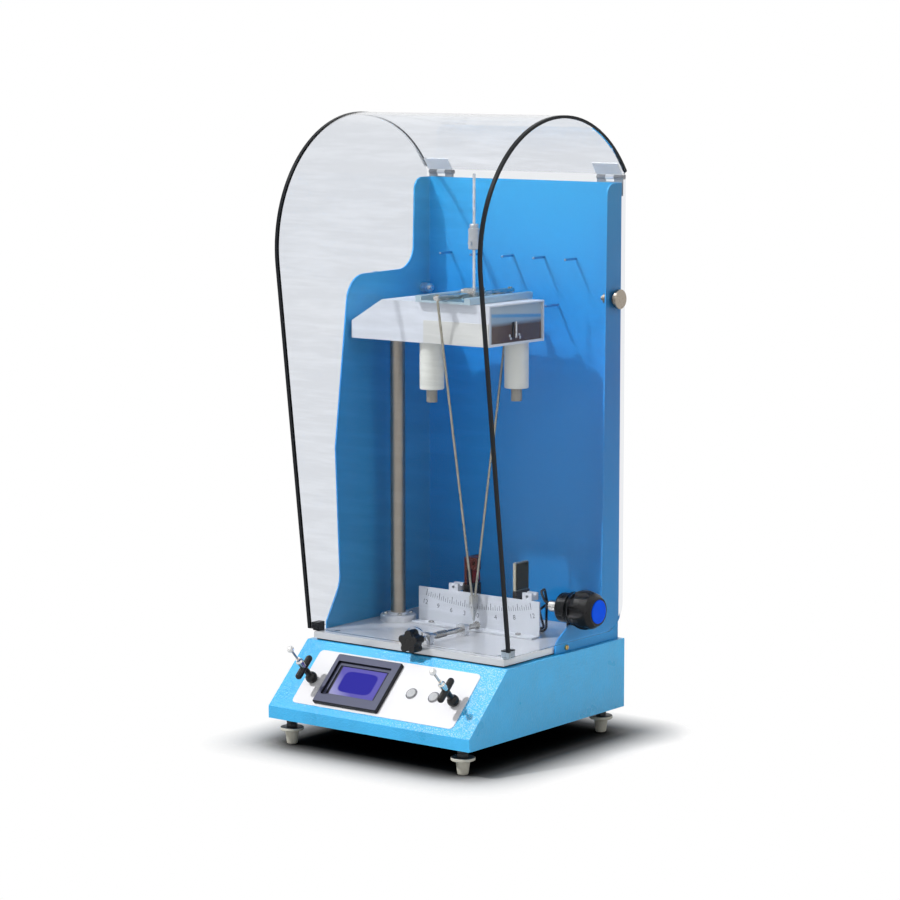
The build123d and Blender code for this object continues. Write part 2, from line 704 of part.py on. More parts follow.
def spacer_stud(side):
    """A turned stud that clamps the side window to the wing, disc outside and nut inside."""
    x0 = WING_X1 + SLIP
    stud = rod_x(STUD_Y, STUD_Z, x0, WINDOW_X0 - SLIP, 6.0)
    stud += rod_x(STUD_Y, STUD_Z, WING_X0 - 16, WINDOW_X1 + 1, 3.0)
    disc = rod_x(STUD_Y, STUD_Z, WINDOW_X1 + SLIP, WINDOW_X1 + 5.0, 12.0)
    stud += chamfer(disc.edges().group_by(Axis.X)[-1], 0.8)
    nut = rod_x(STUD_Y, STUD_Z, WING_X0 - 12, WING_X0 - SLIP, 6.0)
    stud += nut
    return stud if side > 0 else mirror(stud, Plane.YZ)


def storage_peg(x, z, length, r):
    peg = rod_y(x, z, SHIELD_Y0 - length, SHIELD_Y1 + 3, r)
    peg = fillet(peg.edges().group_by(Axis.Y)[0], r * 0.6)
    return peg + rod_y(x, z, SHIELD_Y1 + SLIP, SHIELD_Y1 + 2.4, r + 2)


# Hood
def hood_lean():
    """The lean of the straight front and the length of its tangent onto the round top."""
    dy = HOOD_CY - HOOD_FRONT
    dz = HOOD_CZ - HOOD_Z0
    reach = math.hypot(dy, dz)
    lean = math.asin(HOOD_R / reach) - math.atan2(dy, dz)
    return lean, math.sqrt(reach ** 2 - HOOD_R ** 2)


def hood_start(inset):
    lean, _ = hood_lean()
    return (HOOD_FRONT + inset / math.cos(lean), HOOD_Z0)


def hood_touch(inset):
    lean, _ = hood_lean()
    r = HOOD_R - inset
    return (HOOD_CY - r * math.cos(lean), HOOD_CZ - r * math.sin(lean))


def hood_arc_point(inset, degrees):
    a = math.radians(degrees)
    return (HOOD_CY + (HOOD_R - inset) * math.cos(a), HOOD_CZ + (HOOD_R - inset) * math.sin(a))


def hood_band(inset0, inset1, end=HOOD_END):
    """The side outline of a sheet between two distances inside the hood's outer line."""
    outline = [
        Line(hood_start(inset0), hood_touch(inset0)),
        ThreePointArc(hood_touch(inset0), hood_arc_point(inset0, 100), hood_arc_point(inset0, end)),
        Line(hood_arc_point(inset0, end), hood_arc_point(inset1, end)),
        ThreePointArc(hood_arc_point(inset1, end), hood_arc_point(inset1, 100), hood_touch(inset1)),
        Line(hood_touch(inset1), hood_start(inset1)),
        Line(hood_start(inset1), hood_start(inset0)),
    ]
    return make_face(Wire(outline))


def hood_sheet():
    half = WINDOW_X1 + 0.6 - TRIM_W
    sheet = prism_x(hood_band(SEAT, SEAT + HOOD_T), -half, half)
    notch = STAR_R + 2.0
    y0, y1 = HOOD_FRONT - 10, HOOD_FRONT + 10
    sheet -= rod_y(STAR_X, SHAFT_Z, y0, y1, notch)
    return sheet - block(STAR_X - notch, STAR_X + notch, y0, y1, HOOD_Z0 - 1, SHAFT_Z)


def hood_trim(side):
    x1 = WINDOW_X1 + 0.6
    trim = prism_x(hood_band(0, TRIM_H, HOOD_END + 1.2), x1 - TRIM_W, x1)
    return trim if side > 0 else mirror(trim, Plane.YZ)


def hood_bumper(side):
    """A small block in the front corner of the hood that comes down on the deck."""
    y0 = hood_start(TRIM_H)[0] + 1.0
    x1 = WINDOW_X0 - 1.0
    pad = block(x1 - 9, x1, y0, y0 + 12, DECK_Z1 + SEAT, DECK_Z1 + 11)
    lean, _ = hood_lean()
    wedge = [(hood_start(SEAT + HOOD_T)[0], HOOD_Z0), (y0 + 1, HOOD_Z0),
             (y0 + 1, DECK_Z1 + 11), (hood_start(SEAT + HOOD_T)[0] - 7.8 * math.tan(lean), DECK_Z1 + 11)]
    pad += prism_x(face_yz(wedge), x1 - 9, x1)
    return pad if side > 0 else mirror(pad, Plane.YZ)


def knuckle(x, span):
    """One rolled knuckle, over a span given as shares of the hinge's length."""
    return rod_x(HINGE_Y, HINGE_Z, x + span[0] * HINGE_L, x + span[1] * HINGE_L, HINGE_R)


def hood_hinge_leaf(x):
    """The leaf under the hood sheet, rolled into the middle knuckle."""
    near = SEAT + HOOD_T + 2 * SLIP
    far = near + LEAF_T
    ends = (HOOD_END + 0.2, HOOD_END + 3, HOOD_END + 6.5)
    outer = [hood_arc_point(near, degrees) for degrees in ends]
    inner = [hood_arc_point(far, degrees) for degrees in reversed(ends)]
    band = make_face(Wire([ThreePointArc(*outer), Line(outer[-1], inner[0]),
                           ThreePointArc(*inner), Line(inner[-1], outer[0])]))
    leaf = prism_x(band, x - HINGE_L / 2, x + HINGE_L / 2)
    for low, high in OUTER_KNUCKLES:
        x0, x1 = x + low * HINGE_L - 1, x + high * HINGE_L + 1
        x0 = max(x0, x + MIDDLE_KNUCKLE[1] * HINGE_L - SLIP) if low > 0 else x0
        x1 = min(x1, x + MIDDLE_KNUCKLE[0] * HINGE_L + SLIP) if low < 0 else x1
        leaf -= rod_x(HINGE_Y, HINGE_Z, x0, x1, HINGE_R + SEAT)
        leaf -= block(x0, x1, HINGE_Y - 3.2, HINGE_Y + 4, HINGE_Z - 4, HINGE_Z + 2.0)
    leaf += knuckle(x, MIDDLE_KNUCKLE)
    return leaf - rod_x(HINGE_Y, HINGE_Z, x - HINGE_L, x + HINGE_L, HINGE_PIN_R + SLIP)


def rear_hinge_leaf(x):
    """The leaf behind the back wall, with the two outer knuckles."""
    y0 = SHIELD_Y1 + SLIP
    half = MIDDLE_KNUCKLE[1] * HINGE_L + SEAT
    leaf = block(x - HINGE_L / 2, x + HINGE_L / 2, y0, y0 + LEAF_T, SHIELD_Z1 - 16, HINGE_Z)
    for span in OUTER_KNUCKLES:
        leaf += knuckle(x, span)
    leaf -= rod_x(HINGE_Y, HINGE_Z, x - HINGE_L, x + HINGE_L, HINGE_PIN_R + SLIP)
    leaf -= block(x - half, x + half, y0 - 8, y0 + 8, SHIELD_Z1 + 1, HINGE_Z + 4)
    for dx in (-12, 12):
        leaf -= rod_y(x + dx, SHIELD_Z1 - 9, y0 - 1, y0 + 3, 1.6)
    return leaf


def hinge_pin(x):
    return rod_x(HINGE_Y, HINGE_Z, x - HINGE_L / 2 - 0.8, x + HINGE_L / 2 + 0.8, HINGE_PIN_R)


# Column and head
def column():
    tube = rod_z(COLUMN_X, HEAD_Y, DECK_Z1 + SEAT, HEAD_Z0 - SLIP, COLUMN_R)
    return tube - rod_z(COLUMN_X, HEAD_Y, DECK_Z1 - 1, HEAD_Z0 - 12, COLUMN_R - COLUMN_WALL)


def column_flange():
    r = COLUMN_R + SLIP
    z = DECK_Z1
    ring = turned([(r, z), (FLANGE_R, z), (FLANGE_R, z + FLANGE_T - 1.5), (FLANGE_R - 1.5, z + FLANGE_T),
                   (r + 3, z + FLANGE_T), (r + 2, z + FLANGE_T + 2), (r, z + FLANGE_T + 2)],
                  Pos(COLUMN_X, HEAD_Y, 0))
    for x, y in column_fixings():
        ring -= rod_z(x, y, z - 1, z + FLANGE_T + 1, 1.7)
    return ring


def head_outline(inset=0.0):
    x0, x1 = HEAD_X0 + inset, HEAD_X1
    z0, z1 = HEAD_Z0 - (1.0 if inset else 0.0), HEAD_Z1 - inset
    nose = inset * 0.27
    return [(x0, z0), (x1 + (1.0 if inset else 0.0), z0), (x1 + (1.0 if inset else 0.0), z1),
            (HEAD_X0 + HEAD_NOSE_RUN + nose, z1), (x0, HEAD_Z0 + HEAD_NOSE_H - nose)]


def head_housing():
    """The head casing: one folded sheet with a sloping nose, open below and at the right end."""
    outer = prism_y(head_outline(), HEAD_Y0, HEAD_Y1)
    outer = fillet(outer.edges().filter_by(Axis.Y).sort_by(Axis.Z)[-2:], 1.0)
    inner = prism_y(head_outline(SHEET), HEAD_Y0 + SHEET, HEAD_Y1 - SHEET)
    shell = outer - inner
    shell -= table_opening(PLAY)
    for x, y in guide_places():
        shell -= rod_z(x, y, HEAD_Z1 - SHEET - 1, HEAD_Z1 + 1, LIFT_ROD_R + PLAY)
    return shell


def table_opening(grow):
    half = PANEL_W / 2 + 1.0 + grow
    deep = PANEL_L / 2 + 1.0 + grow
    return block(PEND_X - half, PEND_X + half, HEAD_Y - deep, HEAD_Y + deep, HEAD_Z1 - SHEET - 1, HEAD_Z1 + 1)


def guide_places():
    return [(PEND_X - RAIL_X, HEAD_Y - GUIDE_DY), (PEND_X + RAIL_X, HEAD_Y + GUIDE_DY)]


def head_floor():
    """The floor of the head, which carries the table's legs and the lifting guides."""
    gap = SHEET + SLIP
    floor = block(HEAD_X0 + gap, HEAD_X1 - 1.0, HEAD_Y0 + gap, HEAD_Y1 - gap, HEAD_Z0, HEAD_Z0 + 3.0)
    for x, y in guide_places():
        floor -= rod_z(x, y, HEAD_Z0 - 1, HEAD_Z0 + 4, LIFT_ROD_R + PLAY)
    for x in (-1, 1):
        floor -= rod_z(COLUMN_X + x * 14, HEAD_Y, HEAD_Z0 - 1, HEAD_Z0 + 4, 1.7)
    return floor


def head_side_plate():
    """The thin cover plate low on the front of the head."""
    y = HEAD_Y0 - SLIP
    return block(-27.0, HEAD_X1 - 0.5, y - 1.2, y, HEAD_Z0 + 0.5, HEAD_Z0 + 28.0)


def head_end_pane():
    """The smoked pane in the open right end, behind a narrow rim."""
    y0, y1 = HEAD_Y0 + SHEET + SLIP, HEAD_Y1 - SHEET - SLIP
    z0, z1 = HEAD_Z0 + 3.0 + SLIP, HEAD_Z1 - SHEET - SLIP
    return block(HEAD_X1 - 6.0, HEAD_X1 - 3.0, y0, y1, z0, z1)


def panel_table():
    """The levelled table with its locating ledge and four legs inside the head."""
    x0, x1 = PEND_X - PANEL_W / 2, PEND_X + PANEL_W / 2
    y0, y1 = HEAD_Y - PANEL_L / 2, HEAD_Y + PANEL_L / 2
    z1 = PANEL_Z0 - SLIP
    table = block(x0 - 1, x1 + 1, y0 - 1, y1 + 1, z1 - TABLE_T, z1)
    for x in (x0 + 8, x1 - 8):
        for y in (y0 + 8, y1 - 8):
            table += rod_z(x, y, HEAD_Z0 + 3.0 + SLIP, z1 - TABLE_T + 1, 4.0)
    return table


def test_panel():
    x0, x1 = PEND_X - PANEL_W / 2, PEND_X + PANEL_W / 2
    y0, y1 = HEAD_Y - PANEL_L / 2, HEAD_Y + PANEL_L / 2
    return block(x0, x1, y0, y1, PANEL_Z0, PANEL_Z1)


def guide_cylinder(x, y):
    """A lifting guide: a turned cylinder under the head with a narrower cable socket below."""
    z1 = HEAD_Z0 - SLIP
    z0 = z1 - GUIDE_H
    bore = GUIDE_R - GUIDE_WALL
    tip = z0 - TIP_H
    outline = [(1.6, tip), (TIP_R - 0.6, tip), (TIP_R, tip + 0.6), (TIP_R, z0), (GUIDE_R - 1, z0),
               (GUIDE_R, z0 + 1), (GUIDE_R, z1), (LIFT_ROD_R + SLIP, z1), (LIFT_ROD_R + SLIP, z1 - 8),
               (bore, z1 - 8), (bore, z0 + 4), (1.6, z0 + 4)]
    return turned(outline, Pos(x, y, 0))


def lift_rod(x, y):
    """A push rod with the collar that its spring bears on, low inside the guide."""
    rod = rod_z(x, y, HEAD_Z0 - GUIDE_H + 8, rail_z0(), LIFT_ROD_R)
    z = HEAD_Z0 - 30
    return rod + rod_z(x, y, z, z + 3, GUIDE_R - GUIDE_WALL - PLAY)


def lift_spring(x, y):
    """The coil between the guide's floor and the collar of the push rod."""
    z0 = HEAD_Z0 - SLIP - GUIDE_H + 4 + 0.9
    height = (HEAD_Z0 - 30) - z0 - 0.9
    path = Helix(pitch=height / 4.5, height=height, radius=7.5)
    start = path @ 0
    section = Plane(origin=start, z_dir=path % 0) * Circle(0.7)
    coil = sweep(section, path=path)
    return Pos(x, y, z0) * coil


def rail_z0():
    return HEAD_Z1 + SEAT


def stirrup_frame():
    """Two rails beside the table joined by a low bar before and behind it, below the cross beam."""
    z0 = rail_z0()
    top = BEAM_Z0 - LIFT_REST
    y0, y1 = HEAD_Y - RAIL_L / 2, HEAD_Y + RAIL_L / 2
    frame = None
    for side in (-1, 1):
        x = PEND_X + side * RAIL_X
        rail = block(x - RAIL_W / 2, x + RAIL_W / 2, y0, y1, z0, z0 + RAIL_H)
        rail = chamfer(rail.edges().filter_by(Axis.Y).group_by(Axis.Z)[-1], 0.8)
        frame = rail if frame is None else frame + rail
    for y in (y0, y1 - STIRRUP_BAR):
        frame += block(PEND_X - RAIL_X, PEND_X + RAIL_X, y, y + STIRRUP_BAR, z0, top)
    for x, y in guide_places():
        frame -= rod_z(x, y, z0 - 1, z0 + RAIL_H - 2, LIFT_ROD_R)
    return frame


def lift_rods():
    group = []
    for x, y in guide_places():
        group.append(lift_rod(x, y) + rod_z(x, y, rail_z0() - 1, rail_z0() + RAIL_H - 2, LIFT_ROD_R))
    return group


# Pendulum
def fulcrum_places():
    return [(PEND_X, HEAD_Y - BALL_PITCH / 2), (PEND_X, HEAD_Y + BALL_PITCH / 2)]


def cross_beam():
    """The beam over the panel, with ball sockets below and the hub of the upper rod in the middle."""
    x = PEND_X
    reach = BEAM_L / 2 + 4
    beam = block(x - BEAM_W / 2, x + BEAM_W / 2, HEAD_Y - reach, HEAD_Y + reach, BEAM_Z0, BEAM_Z1)
    beam = chamfer(beam.edges().filter_by(Axis.Y).group_by(Axis.Z)[-1], 0.8)
    for side in (-1, 1):
        for end in (-1, 1):
            edge = x + side * BEAM_W / 2
            y0, y1 = sorted((HEAD_Y + end * BALL_PITCH, HEAD_Y + end * BEAM_L))
            beam -= prism_y([(edge - side * BEAM_RELIEF, BEAM_Z0), (edge, BEAM_Z0 + BEAM_RELIEF),
                             (edge + side, BEAM_Z0 + BEAM_RELIEF), (edge + side, BEAM_Z0 - 1),
                             (edge - side * BEAM_RELIEF, BEAM_Z0 - 1)], y0, y1)
    hub = block(x - 9, x + 9, HEAD_Y - HUB_L / 2, HEAD_Y + HUB_L / 2, BEAM_Z0 + 1.0, BEAM_Z0 + 1 + HUB_H)
    hub = fillet(hub.edges().filter_by(Axis.Z), 3)
    screw_head = rod_x(HEAD_Y - 4, BEAM_Z0 + 1 + HUB_H / 2, x - 15, x - 8, 3.4)
    beam += hub + screw_head
    for bx, by in fulcrum_places():
        beam -= Pos(bx, by, FULCRUM_Z) * Sphere(BALL_R + SLIP)
    beam -= rod_z(x, HEAD_Y, BEAM_Z0 + 4, BEAM_Z1 + HUB_H, POST_R)
    for side in (-1, 1):
        y = HEAD_Y + side * BEAM_L / 2
        beam -= rod_z(x, y, BEAM_Z0 - 1, BEAM_Z1 + 1, ROD_R + 1.2)
    return beam


def pendulum_rod(side):
    """One leg of the V, clamped in the end of the beam and pinned into the pointer."""
    top = Vector(PEND_X, HEAD_Y + side * BEAM_L / 2, BEAM_Z1)
    bend = Vector(PEND_X, HEAD_Y + side * BEAM_L / 2, BEAM_Z0 - 3)
    low = Vector(PEND_X, HEAD_Y + side * 2.6, TIP_Z + POINTER_H + 2)
    path = FilletPolyline(top, bend, low, radius=6)
    rod = sweep(Plane(origin=top, z_dir=(0, 0, -1)) * Circle(ROD_R), path=path)
    collar = rod_z(PEND_X, HEAD_Y + side * BEAM_L / 2, BEAM_Z0, BEAM_Z1 + 1.6, ROD_R + 1.2)
    return rod + collar


def pointer():
    """The wedge where the legs meet, drawn down to the reading tip."""
    z0 = TIP_Z
    z1 = TIP_Z + POINTER_H + 6
    x = PEND_X
    face = face_yz([(HEAD_Y, z0), (HEAD_Y + 1.2, z0 + 4), (HEAD_Y + 6.0, z1 - 8), (HEAD_Y + 6.0, z1),
                    (HEAD_Y - 6.0, z1), (HEAD_Y - 6.0, z1 - 8), (HEAD_Y - 1.2, z0 + 4)])
    wedge = prism_x(face, x - 2.4, x + 2.4)
    side = prism_y([(x - 0.15, z0), (x + 0.15, z0), (x + 2.4, z0 + 16), (x + 2.4, z1), (x - 2.4, z1),
                    (x - 2.4, z0 + 16)], HEAD_Y - 8, HEAD_Y + 8)
    return wedge & side


def upper_rod():
    z0 = BEAM_Z0 + 4
    rod = rod_z(PEND_X, HEAD_Y, z0, FULCRUM_Z + POST_TOP, POST_R)
    return chamfer(rod.edges().group_by(Axis.Z)[-1], 0.5)


def counterweight():
    """The sliding weight on the upper rod, with its small clamping screw."""
    z0 = FULCRUM_Z + WEIGHT_Z
    outline = [(POST_R + SLIP, z0), (WEIGHT_R - 1.0, z0), (WEIGHT_R, z0 + 1.0), (WEIGHT_R, z0 + WEIGHT_H - 6),
               (WEIGHT_R - 1.6, z0 + WEIGHT_H - 5), (WEIGHT_R - 1.6, z0 + WEIGHT_H - 1),
               (WEIGHT_R - 2.4, z0 + WEIGHT_H), (POST_R + SLIP, z0 + WEIGHT_H)]
    weight = turned(outline, Pos(PEND_X, HEAD_Y, 0))
    screw_hole = rod_y(PEND_X, z0 + 8, HEAD_Y - WEIGHT_R - 1, HEAD_Y - POST_R - 0.4, 1.5)
    return weight - screw_hole


def weight_screw():
    z = FULCRUM_Z + WEIGHT_Z + 8
    knob = rod_y(PEND_X, z, HEAD_Y - WEIGHT_R - 2.5, HEAD_Y - WEIGHT_R - SLIP, 2.6)
    return knob + rod_y(PEND_X, z, HEAD_Y - WEIGHT_R - 1, HEAD_Y - POST_R - 0.5, 1.45)


# Scale with rack and pinion
def involute(radius, base):
    """The angle that an involute has turned through at a radius."""
    tangent = math.sqrt(max(radius ** 2 - base ** 2, 0.0)) / base
    return tangent - math.atan(tangent)


def pinion_outline():
    """The outline of the pinion, each flank an involute of the base circle."""
    pressure = math.radians(20)
    base = PITCH_R * math.cos(pressure)
    root = PITCH_R - 1.25 * MODULE
    tip = PITCH_R + MODULE
    half = (math.pi * MODULE / 2 - BACKLASH) / (2 * PITCH_R)
    points = []
    for tooth in range(TEETH):
        centre = -math.pi / 2 + math.tau * tooth / TEETH
        flank = [root, base, base + (tip - base) * 0.35, base + (tip - base) * 0.7, tip]
        for side in (-1, 1):
            radii = flank if side < 0 else flank[::-1]
            for r in radii:
                turn = half + involute(PITCH_R, base) - involute(max(r, base), base)
                points.append((r * math.cos(centre + side * turn), r * math.sin(centre + side * turn)))
    return points


def rack_outline():
    """Straight rack teeth over the foot of the scale, with a space facing the pinion's lowest tooth."""
    pitch = math.pi * MODULE
    count = 2 * math.ceil(SCALE_LEFT / pitch + 2.5)
    low = RACK_Z - 1.25 * MODULE
    top = RACK_Z + RACK_ADD
    slope = math.tan(math.radians(20))
    half = (pitch / 2 - BACKLASH) / 2
    foot = half + (RACK_Z - low) * slope
    crest = half - RACK_ADD * slope
    points = [(STAR_X - (count / 2 + 0.5) * pitch, low - 0.4)]
    for k in range(count):
        x = STAR_X + (k - count / 2 + 0.5) * pitch
        points += [(x - foot, low), (x - crest, top), (x + crest, top), (x + foot, low)]
    points.append((STAR_X + (count / 2 + 0.5) * pitch, low - 0.4))
    return points


def scale_plate():
    """The scale: an upright face on a slotted foot, and the rack in front of it."""
    z0 = DECK_Z1 + SEAT
    toe, back, top = SCALE_Y - SCALE_FOOT - 2, SCALE_Y + SCALE_T, z0 + SCALE_H
    low = z0 + SCALE_T
    outline = [(toe, z0), (back, z0), (back, top), (SCALE_Y, top), (SCALE_Y, low), (toe, low)]
    profile = face_yz(outline, ((1, 1.5),))
    plate = prism_x(profile, SCALE_X0, SCALE_X1)
    low = RACK_Z - 1.25 * MODULE - 0.4
    plate += prism_y(rack_outline(), PINION_Y0 - SEAT, PINION_Y1)
    plate += block(*rack_span(), PINION_Y0 - SEAT, PINION_Y1, z0 + SCALE_T / 2, low + 0.05)
    for x in slot_places():
        slot = block(x - SCALE_RIGHT - 2.2, x + SCALE_LEFT + 2.2, SCALE_Y - 10.2, SCALE_Y - 5.8, z0 - 1,
                     z0 + SCALE_T + 1)
        plate -= fillet(slot.edges().filter_by(Axis.Z), 2.1)
    return plate


def rack_span():
    points = rack_outline()
    return points[0][0], points[-1][0]


def slot_places():
    return SCALE_X0 + SCALE_L * 0.14, SCALE_X1 - SCALE_L * 0.14


def scale_block(x):
    """A small drilled block clamped on the top edge of the scale."""
    z = DECK_Z1 + SEAT + SCALE_H + SLIP
    body = block(x - 7, x + 7, SCALE_Y, SCALE_Y + 14, z, z + 9)
    body -= rod_y(x, z + 4.5, SCALE_Y - 1, SCALE_Y + 15, 2.0)
    body -= block(x - 8, x + 8, SCALE_Y + 4, SCALE_Y + 10, z + 6, z + 10)
    return body


def scale_guide_screws():
    group = []
    for x in slot_places():
        place = Pos(x, SCALE_Y - 8, DECK_Z1 + SEAT + SCALE_T + SEAT)
        group.append(place * screw(SEAT * 2 + SCALE_T - SLIP, 3.6, 1.6, 1.8))
    return group


def star_shaft():
    """The star knob's shaft, with its stop pin, a ribbed grip and the pinion at its far end."""
    shaft = rod_y(STAR_X, SHAFT_Z, STAR_Y1 - 8, PINION_Y0 + 0.5, SHAFT_R)
    pinion = Plane(origin=(STAR_X, PINION_Y1, SHAFT_Z), x_dir=(1, 0, 0), z_dir=(0, -1, 0))
    gear = extrude(pinion * make_face(Polyline(*pinion_outline(), close=True)), PINION_Y1 - PINION_Y0 - PLAY)
    shaft += gear
    for k in range(5):
        y = DECK_Y0 + 38 + k * 4
        shaft += rod_y(STAR_X, SHAFT_Z, y, y + 2.4, SHAFT_R + 1.0)
    return shaft + rod_z(STAR_X, DECK_Y0 + 11.3, SHAFT_Z, SHAFT_Z + 9.6, 1.1)


def star_knob():
    """The lobed hand knob in front of the deck, drilled for its tommy pin."""
    outline = Circle(STAR_R * 0.72)
    for k in range(STAR_LOBES):
        a = math.radians(90 + k * 360 / STAR_LOBES)
        outline += Pos(STAR_R * 0.67 * math.cos(a), STAR_R * 0.67 * math.sin(a)) * Circle(STAR_R * 0.33)
    outline = fillet(outline.vertices(), 1.6)
    body = Pos(0, 0, -STAR_L / 2) * extrude(outline, STAR_L)
    body = fillet(body.edges().group_by(Axis.Z)[-1], 0.9)
    body = fillet(body.edges().group_by(Axis.Z)[0], 0.9)
    knob = Pos(STAR_X, STAR_Y1 - STAR_L / 2, SHAFT_Z) * Rot(90, 0, 0) * body
    knob -= rod_y(STAR_X, SHAFT_Z, STAR_Y1 - 8 - SLIP, STAR_Y1 + 1, SHAFT_R)
    return knob


def shaft_bearing(y):
    """A small bearing block that carries the star knob's shaft on the deck."""
    body = block(STAR_X - 7, STAR_X + 7, y - 4, y + 4, DECK_Z1 + SLIP, SHAFT_Z + 6)
    body = chamfer(body.edges().filter_by(Axis.Y).group_by(Axis.Z)[-1], 2)
    return body - rod_y(STAR_X, SHAFT_Z, y - 5, y + 5, SHAFT_R + SLIP)


# Light gate
def gate_base(x):
    """The black block that carries one post of the light gate."""
    base = block(x - 1, x + GATE_T + 2, GATE_Y, GATE_Y + GATE_D + 1, DECK_Z1 + SLIP, DECK_Z1 + GATE_BASE_H)
    return chamfer(base.edges().filter_by(Axis.Z), 0.6)


def gate_post(x, head):
    """The bright upper plate of a post; the left one carries the small reflex head."""
    z0 = DECK_Z1 + GATE_BASE_H + SLIP
    z1 = DECK_Z1 + GATE_H
    post = block(x, x + GATE_T, GATE_Y, GATE_Y + GATE_D, z0, z1)
    if head:
        post += block(x + GATE_T - 1, x + GATE_T + 14, GATE_Y + 2, GATE_Y + 10, z1 - 15, z1)
        post -= rod_y(x + GATE_T + 9, z1 - 7.5, GATE_Y + 1, GATE_Y + 6, 2.5)
    return post


def gate_window(x, y):
    """A dark glossy cover on the face of a post."""
    z0 = DECK_Z1 + GATE_BASE_H + 1.5
    return block(x, x + 1.4, y, GATE_Y + GATE_D - 1, z0, DECK_Z1 + GATE_H - 1)


# Side handle and its cables
def handle_bearing():
    """The bearing housing of the handle's spindle, on a bracket inside the right wing."""
    x0, x1 = HOUSING_X0, HOUSING_X1
    body = rod_x(HANDLE_Y, HANDLE_Z, x0, x1, NECK_R)
    body = fillet(body.edges().group_by(Axis.X)[0], 3.0)
    body += block(x1 - BRACKET_T, x1, HANDLE_Y, HANDLE_Y + BRACKET_W, DECK_Z1 + SLIP, HANDLE_Z)
    return body - rod_x(HANDLE_Y, HANDLE_Z, x0 + SPINDLE_END, x1 + 1, SPINDLE_R + SLIP)


def handle_grip():
    """The lobed hand grip outside the window, with the neck that goes in through it."""
    x0 = HANDLE_X0
    x1 = x0 + GRIP_L
    neck = rod_x(HANDLE_Y, HANDLE_Z, HOUSING_X1 + SEAT, x0 + 1, NECK_R)
    outline = [(0, x0), (NECK_R + 0.6, x0), (GRIP_R - 1.6, x0 + 6), (GRIP_R, x0 + 12), (GRIP_R, x0 + 19),
               (GRIP_R - 2.5, x1 - 6), (GRIP_R - 6.5, x1), (0, x1)]
    grip = turned(outline, Pos(0, 0, 0))
    for k in range(GRIP_LOBES):
        turn = Rot(0, 0, 30 + k * 360 / GRIP_LOBES)
        flute = turn * Pos(GRIP_R + FLUTE_OUT, 0, x0 + GRIP_L / 2) * Rot(0, 9, 0) * Cylinder(FLUTE_R, GRIP_L - 5)
        grip -= flute
    body = neck + Pos(0, HANDLE_Y, HANDLE_Z) * Rot(0, 90, 0) * grip
    body -= rod_x(HANDLE_Y, HANDLE_Z, x1 - CAP_SEAT, x1 + 1, CAP_R)
    return body - rod_x(HANDLE_Y, HANDLE_Z, HOUSING_X1, x1 - SPINDLE_STOP, SPINDLE_R)


def handle_cap():
    x1 = HANDLE_X0 + GRIP_L
    cap = rod_x(HANDLE_Y, HANDLE_Z, x1 - CAP_SEAT, x1 + 1.4, CAP_R - SLIP)
    return fillet(cap.edges().group_by(Axis.X)[-1], 1.2)


def handle_spindle():
    """The bright spindle that turns in the bearing housing."""
    return rod_x(HANDLE_Y, HANDLE_Z, HOUSING_X0 + SPINDLE_END + SEAT, HANDLE_X0 + GRIP_L - SPINDLE_STOP, SPINDLE_R)


def cable_gland():
    """The bright gland on the bearing housing, where the two leads of the light gate come out."""
    gland = rod_x(HANDLE_Y, HANDLE_Z, GLAND_X, HOUSING_X0 - SLIP, GLAND_R)
    gland = chamfer(gland.edges().group_by(Axis.X)[0], 1.2)
    gland += rod_x(HANDLE_Y, HANDLE_Z, HOUSING_X0 - GLAND_NUT, HOUSING_X0 - SLIP, GLAND_R + 1.4)
    for z in (HANDLE_Z + GLAND_PITCH / 2, HANDLE_Z - GLAND_PITCH / 2):
        gland -= rod_x(HANDLE_Y, z, GLAND_X - 1, GLAND_X + 5, CABLE_R)
    return gland


def cable(points, radii):
    """A lead along straight runs and tangent arcs."""
    path = FilletPolyline(*points, radius=radii)
    start = Plane(origin=points[0], z_dir=path % 0)
    lead = sweep(start * Circle(CABLE_R), path=path)
    print("lead length", round(path.length, 1), "least bend radius", min(radii), "volume", round(lead.volume),
          "section by length", round(math.pi * CABLE_R ** 2 * path.length))
    return lead


def right_lead():
    """From the gland up over the scale's end and down behind it to the right post."""
    x, y, z = GLAND_X + 4.0, HANDLE_Y, HANDLE_Z + GLAND_PITCH / 2
    deck = DECK_Z1 + CABLE_R + SEAT
    points = [(x, y, z), (x - 12, y, z), (x - 20, y + 2, z + 12), (x - 26, y + 18, z + 12),
              (x - 32, y + 31, z - 5), (x - 34, y + 33, deck), (GATE_X1 + GATE_T + 2 + SLIP, y + 33, deck)]
    return cable(points, (6.0, 6.0, 8.0, 8.0, 8.0))


def left_lead():
    """From the gland down behind the scale, along the deck and up to the left post."""
    x, y, z = GLAND_X + 4.0, HANDLE_Y, HANDLE_Z - GLAND_PITCH / 2
    deck = DECK_Z1 + CABLE_R + SEAT
    post = DECK_Z1 + GATE_BASE_H - 8
    points = [(x, y, z), (x - 9, y, z), (x - 19, y + 10, z), (x - 40, y + 26, z - 11),
              (x - 46, y + 46, deck), (GATE_X0 + 20, y + 46, deck), (GATE_X0 - 14, y + 40, deck),
              (GATE_X0 - 14, y + 26, post), (GATE_X0 - 1 - SLIP, y + 26, post)]
    return cable(points, (6.0, 8.0, 8.0, 8.0, 10.0, 8.0, 6.0))


